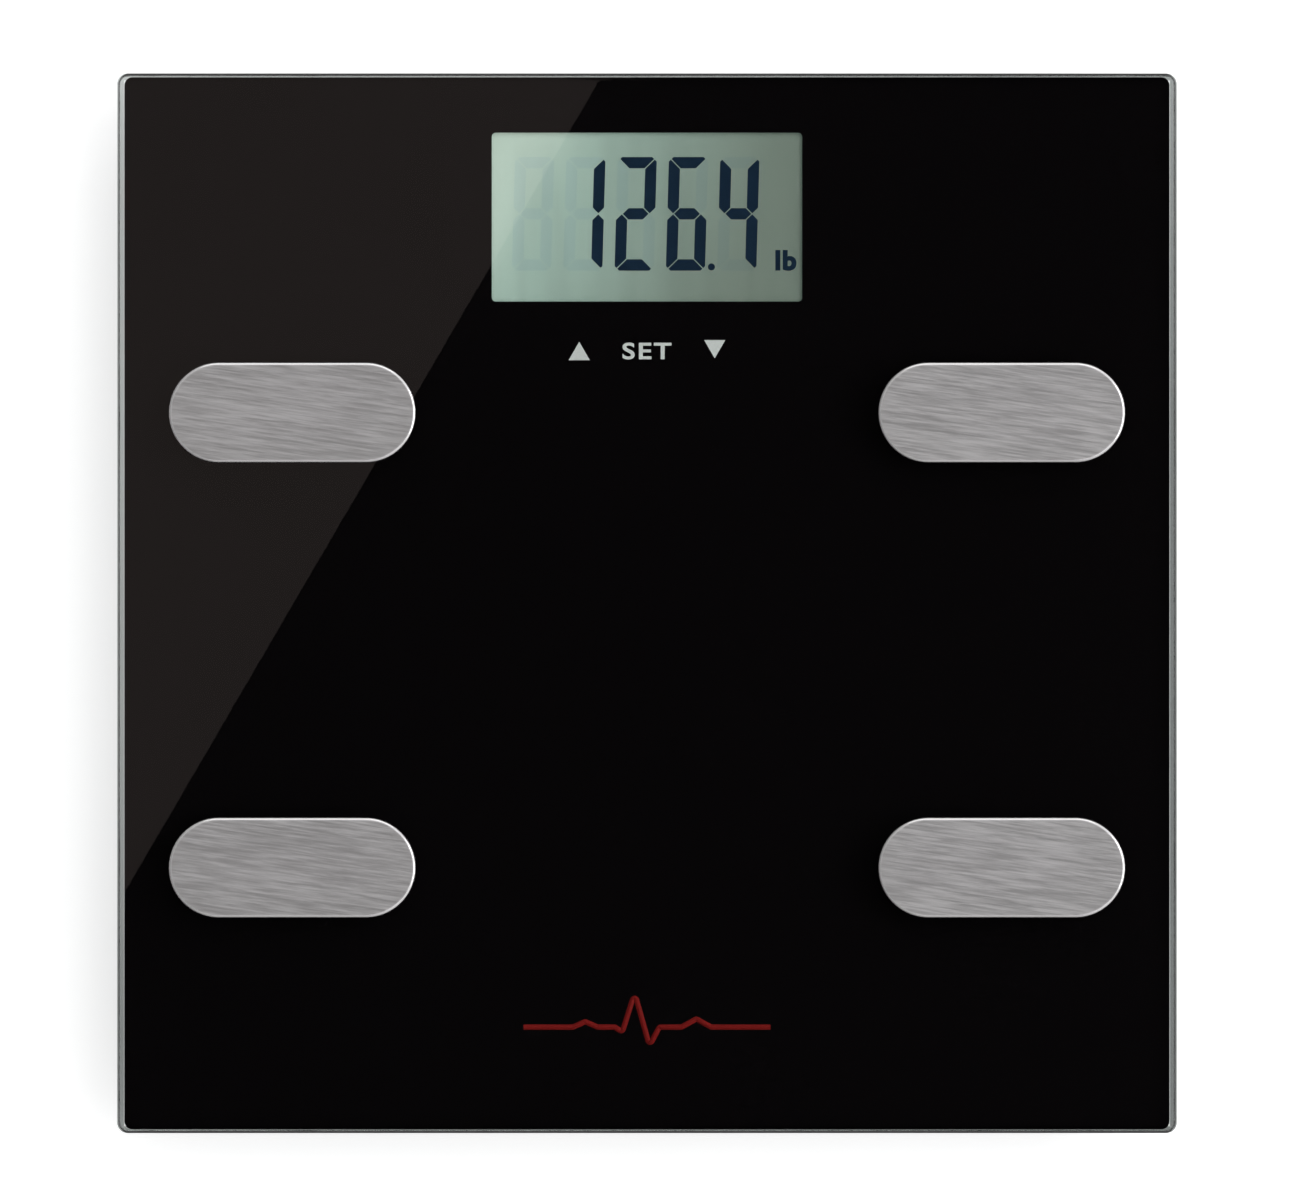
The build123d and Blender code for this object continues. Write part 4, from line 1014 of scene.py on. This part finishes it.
def joint_shaper():
    """A grid of small solder domes."""
    sockets = {"Columns": "Int", "Rows": "Int", "Width": "Float", "Depth": "Float"}
    shaper = Shaper("Solder domes", {**sockets, "Centre": "Vector", "Dome": "Float"})
    sides = {"Size X": "Width", "Size Y": "Depth", "Vertices X": "Columns", "Vertices Y": "Rows"}
    inputs = {key: shaper.given(name) for key, name in sides.items()}
    grid = shaper.node("GeometryNodeMeshGrid", inputs=inputs)
    placed = shaper.node("GeometryNodeSetPosition", inputs={0: grid, "Offset": shaper.given("Centre")})
    inputs = {"Radius": shaper.given("Dome"), "Subdivisions": 2}
    dome = shaper.node("GeometryNodeMeshIcoSphere", inputs=inputs)
    squat = shaper.node("GeometryNodeTransform", inputs={"Geometry": dome, "Scale": (1.0, 1.0, 0.55)})
    return shaper.copies(placed, squat)


class SCALE_OT_board(bpy.types.Operator):
    """Main board with its components, switch and solder joints"""

    bl_idname = "bathroom_scale.board"
    bl_label = "Main board"

    def execute(self, context):
        coat_nodes(board_laminate(), "main_board")
        resin = Finish("black_resin", IOR=1.53)
        black, ripple = (0.012, 0.012, 0.013), resin.noise(150.0)
        resin.cover(black, ripple, (0.8, 1.2), (0.3, 0.7, 0.12, 0.25), (0.0003, 0.3))
        coat_nodes(resin, "controller_blob")
        ceramic = moulded("component_ceramic", (0.2, 0.14, 0.09), 0.5, 0.3)
        chip = moulded("chip_black", (0.015, 0.015, 0.016), 0.3, 0.4)
        coat_in_turn("board_components", [ceramic, chip, ceramic])
        sleeve = Finish("capacitor_sleeve", Roughness=0.3, IOR=1.5)
        stripe = (sleeve.axis("X") - middle("capacitor").x).rise(1.6 * MM, 1.7 * MM)
        sleeve.feed(Base_Color=sleeve.blend(stripe, (0.01, 0.014, 0.06), (0.5, 0.5, 0.48)))
        coat_nodes(sleeve, "capacitor")
        coat_nodes(plated("can_steel", (0.62, 0.62, 0.61), 0.18, 0.3), "crystal", "unit_switch")
        springs = ["touch_spring_" + key for key in ("up", "set", "down")]
        coat_nodes(plated("spring_steel", (0.66, 0.63, 0.56), 0.16, 0.28), *springs)
        button = moulded("button_plastic", (0.02, 0.02, 0.021), 0.4, 0.7)
        coat_nodes(button, "unit_button", "unit_switch_plunger")
        self.add_joints()
        return {"FINISHED"}

    def add_joints(self):
        """Solder joints where the leads meet the board, and where the unit switch's legs come through."""
        low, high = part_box("main_board")
        solder = plated("solder", (0.6, 0.6, 0.58), 0.22, 0.34)
        shaper = joint_shaper()
        rows = {
            "lead_joints": (14, 1, 84 * MM, 0.0, (0.0, low.y + 5.5 * MM, high.z)),
            "switch_joints": (2, 2, 5 * MM, 4.5 * MM, (*middle("unit_switch").xy, high.z)),
        }
        for name, (columns, count, width, depth, centre) in rows.items():
            piece = new_piece(name)
            shaper.grow(
                piece, columns=columns, rows=count, width=width, depth=depth, centre=centre,
                dome=0.8 * MM, material=solder.material,
            )
            settle(piece, "base")


# ---------------------------------------------------------------- batteries
def battery_sleeve(node, positive):
    """Printed sleeve with a band at the positive end, and bare metal at both ends."""
    low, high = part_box(node)
    sleeve = Finish("sleeve_" + node, IOR=1.5)
    along = (sleeve.axis("X") - (low.x + high.x) / 2) * positive
    band = along.rise(8.0 * MM, 8.4 * MM)
    line = (along - 6.5 * MM).size().rise(0.35 * MM, 0.5 * MM, 1.0, 0.0)
    body = sleeve.blend(band, (0.02, 0.05, 0.09), (0.55, 0.31, 0.05))
    ends = sleeve.facing("X").size().rise(0.75, 0.9)
    metal = sleeve.shaded((0.6, 0.59, 0.57), sleeve.noise(200.0, 3.0), 0.85, 1.1)
    sleeve.feed(Base_Color=sleeve.blend(ends, sleeve.blend(line, body, (0.6, 0.6, 0.58)), metal))
    sleeve.feed(Metallic=ends, Roughness=sleeve.noise(80.0, 3.0).rise(0.3, 0.7, 0.22, 0.34))
    return sleeve


class SCALE_OT_batteries(bpy.types.Operator):
    """Cells and their contacts"""

    bl_idname = "bathroom_scale.batteries"
    bl_label = "Batteries"

    def execute(self, context):
        for number in range(1, 5):
            node = "battery_" + str(number)
            coat_nodes(battery_sleeve(node, -1 if number % 2 else 1), node)
        spring = plated("contact_nickel", (0.68, 0.65, 0.58), 0.18, 0.3)
        contacts = [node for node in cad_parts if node.startswith(("battery_link", "battery_terminal"))]
        coat_nodes(spring, *contacts)
        return {"FINISHED"}


# ---------------------------------------------------------------- stage
class SCALE_OT_stage(bpy.types.Operator):
    """Pale floor, soft light, mirrored card and camera"""

    bl_idname = "bathroom_scale.stage"
    bl_label = "Stage"

    def execute(self, context):
        stage = settings("stage")
        glass_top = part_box("glass_platform")[1].z
        self.add_floor(stage)
        self.add_world()
        self.add_lamps()
        self.add_camera(stage, glass_top)
        self.add_card(stage, glass_top)
        context.scene.view_settings.view_transform = "Standard"
        context.scene.view_settings.look = "None"
        return {"FINISHED"}

    def add_floor(self, stage):
        floor = turned_shape("floor", [(0.0, -0.004), (9.0, -0.004), (9.0, 0.0), (0.0, 0.0)], (0, 0), 96)
        paper = Finish("floor_paper", Roughness=0.9, IOR=1.3, Emission_Strength=0.5)
        paper.cover(stage.floor_tone, paper.noise(6.0), (0.985, 1.0))
        paper.feed(Emission_Color=(1.0, 1.0, 1.0))
        coat(floor, paper)

    def add_world(self):
        """Bright all round, dark overhead so that the glass stays black from above."""
        world = bpy.data.worlds.new("studio")
        world.use_nodes = True
        bpy.context.scene.world = world
        sky = Builder(world.node_tree)
        direction = sky.node("ShaderNodeTexCoord", output="Generated")
        right, rear, up = [sky.part(direction, name) for name in "XYZ"]
        outer, inner = math.radians(24), math.radians(7)
        overhead = up.rise(math.cos(outer), math.cos(inner), 1.0, 0.0)
        side = (right * 0.8 + rear * 0.25).rise(-0.8, 0.8, 0.35, 1.15)
        seen = sky.node("ShaderNodeLightPath", output="Is Camera Ray")
        background = world.node_tree.nodes["Background"]
        strength = (overhead * side).larger(seen)
        world.node_tree.links.new(strength.socket, background.inputs["Strength"])
        background.inputs["Color"].default_value = (1.0, 1.0, 1.0, 1.0)

    def add_lamps(self):
        """Two long softboxes, behind and to the right, that light the electrodes' rims."""
        for name, place, size, power in (
            ("rear_softbox", (0.1, 1.5, 1.0), (1.6, 0.5), 3.2),
            ("right_softbox", (1.5, 0.1, 1.0), (1.6, 0.5), 11.0),
        ):
            lamp = bpy.data.lights.new(name, "AREA")
            lamp.shape = "RECTANGLE"
            lamp.size, lamp.size_y = size
            lamp.energy = power
            holder = bpy.data.objects.new(name, lamp)
            holder.location = place
            holder.rotation_euler = (-Vector(place)).to_track_quat("-Z", "Y").to_euler()
            bpy.context.scene.collection.objects.link(holder)

    def add_camera(self, stage, glass_top):
        lens = bpy.data.cameras.new("camera")
        lens.sensor_width = 36.0
        lens.lens = lens.sensor_width * (stage.camera_height - glass_top) / stage.frame_width
        lens.clip_end = 60.0
        camera = bpy.data.objects.new("camera", lens)
        camera.location = (stage.aim_right, stage.aim_rear, stage.camera_height)
        bpy.context.scene.collection.objects.link(camera)
        bpy.context.scene.camera = camera

    def add_card(self, stage, glass_top):
        """Card above the camera whose straight edge is mirrored across the rear left of the glass."""
        mirrored = [(-170.0, -119.7), (10.0, 188.3), (-230.0, 188.3), (-230.0, -119.7)]
        rise = stage.camera_height - glass_top
        height = 1.35 * rise
        spread = (height + rise) / rise
        aim = Vector((stage.aim_right, stage.aim_rear))
        outline = [aim + (Vector(spot) * MM - aim) * spread for spot in mirrored]
        card = plates("mirrored_card", [outline], glass_top + height)
        glow = Finish("card_glow", Base_Color=(0, 0, 0), Roughness=1.0, Emission_Color=(1.0, 0.83, 0.765))
        glow.feed(Emission_Strength=stage.sheen)
        coat(card, glow)
        card.visible_camera = False
        card.visible_diffuse = False
        card.visible_shadow = False


# ---------------------------------------------------------------- panel, registration and run
SETTINGS = {
    "glass": GlassSettings,
    "display": DisplaySettings,
    "metal": MetalSettings,
    "underside": UndersideSettings,
    "stage": StageSettings,
}
OPERATORS = (
    SCALE_OT_stage,
    SCALE_OT_glass,
    SCALE_OT_marks,
    SCALE_OT_display,
    SCALE_OT_electrodes,
    SCALE_OT_tray,
    SCALE_OT_feet,
    SCALE_OT_load_cells,
    SCALE_OT_board,
    SCALE_OT_batteries,
)


class SCALE_PT_panel(bpy.types.Panel):
    """Lists the steps that build the scale"""

    bl_idname = "SCALE_PT_panel"
    bl_label = "Bathroom scale"
    bl_space_type = "VIEW_3D"
    bl_region_type = "UI"
    bl_category = "Scale"

    def draw(self, context):
        for step in OPERATORS:
            self.layout.operator(step.bl_idname)


def register():
    for kind in (*SETTINGS.values(), *OPERATORS, SCALE_PT_panel):
        bpy.utils.register_class(kind)
    for name, kind in SETTINGS.items():
        setattr(bpy.types.Scene, "scale_" + name, PointerProperty(type=kind))


def unregister():
    for name in SETTINGS:
        delattr(bpy.types.Scene, "scale_" + name)
    for kind in reversed((*SETTINGS.values(), *OPERATORS, SCALE_PT_panel)):
        bpy.utils.unregister_class(kind)


def main():
    register()
    for step in OPERATORS:
        group, name = step.bl_idname.split(".")
        getattr(getattr(bpy.ops, group), name)()


if __name__ == "__main__":
    main()
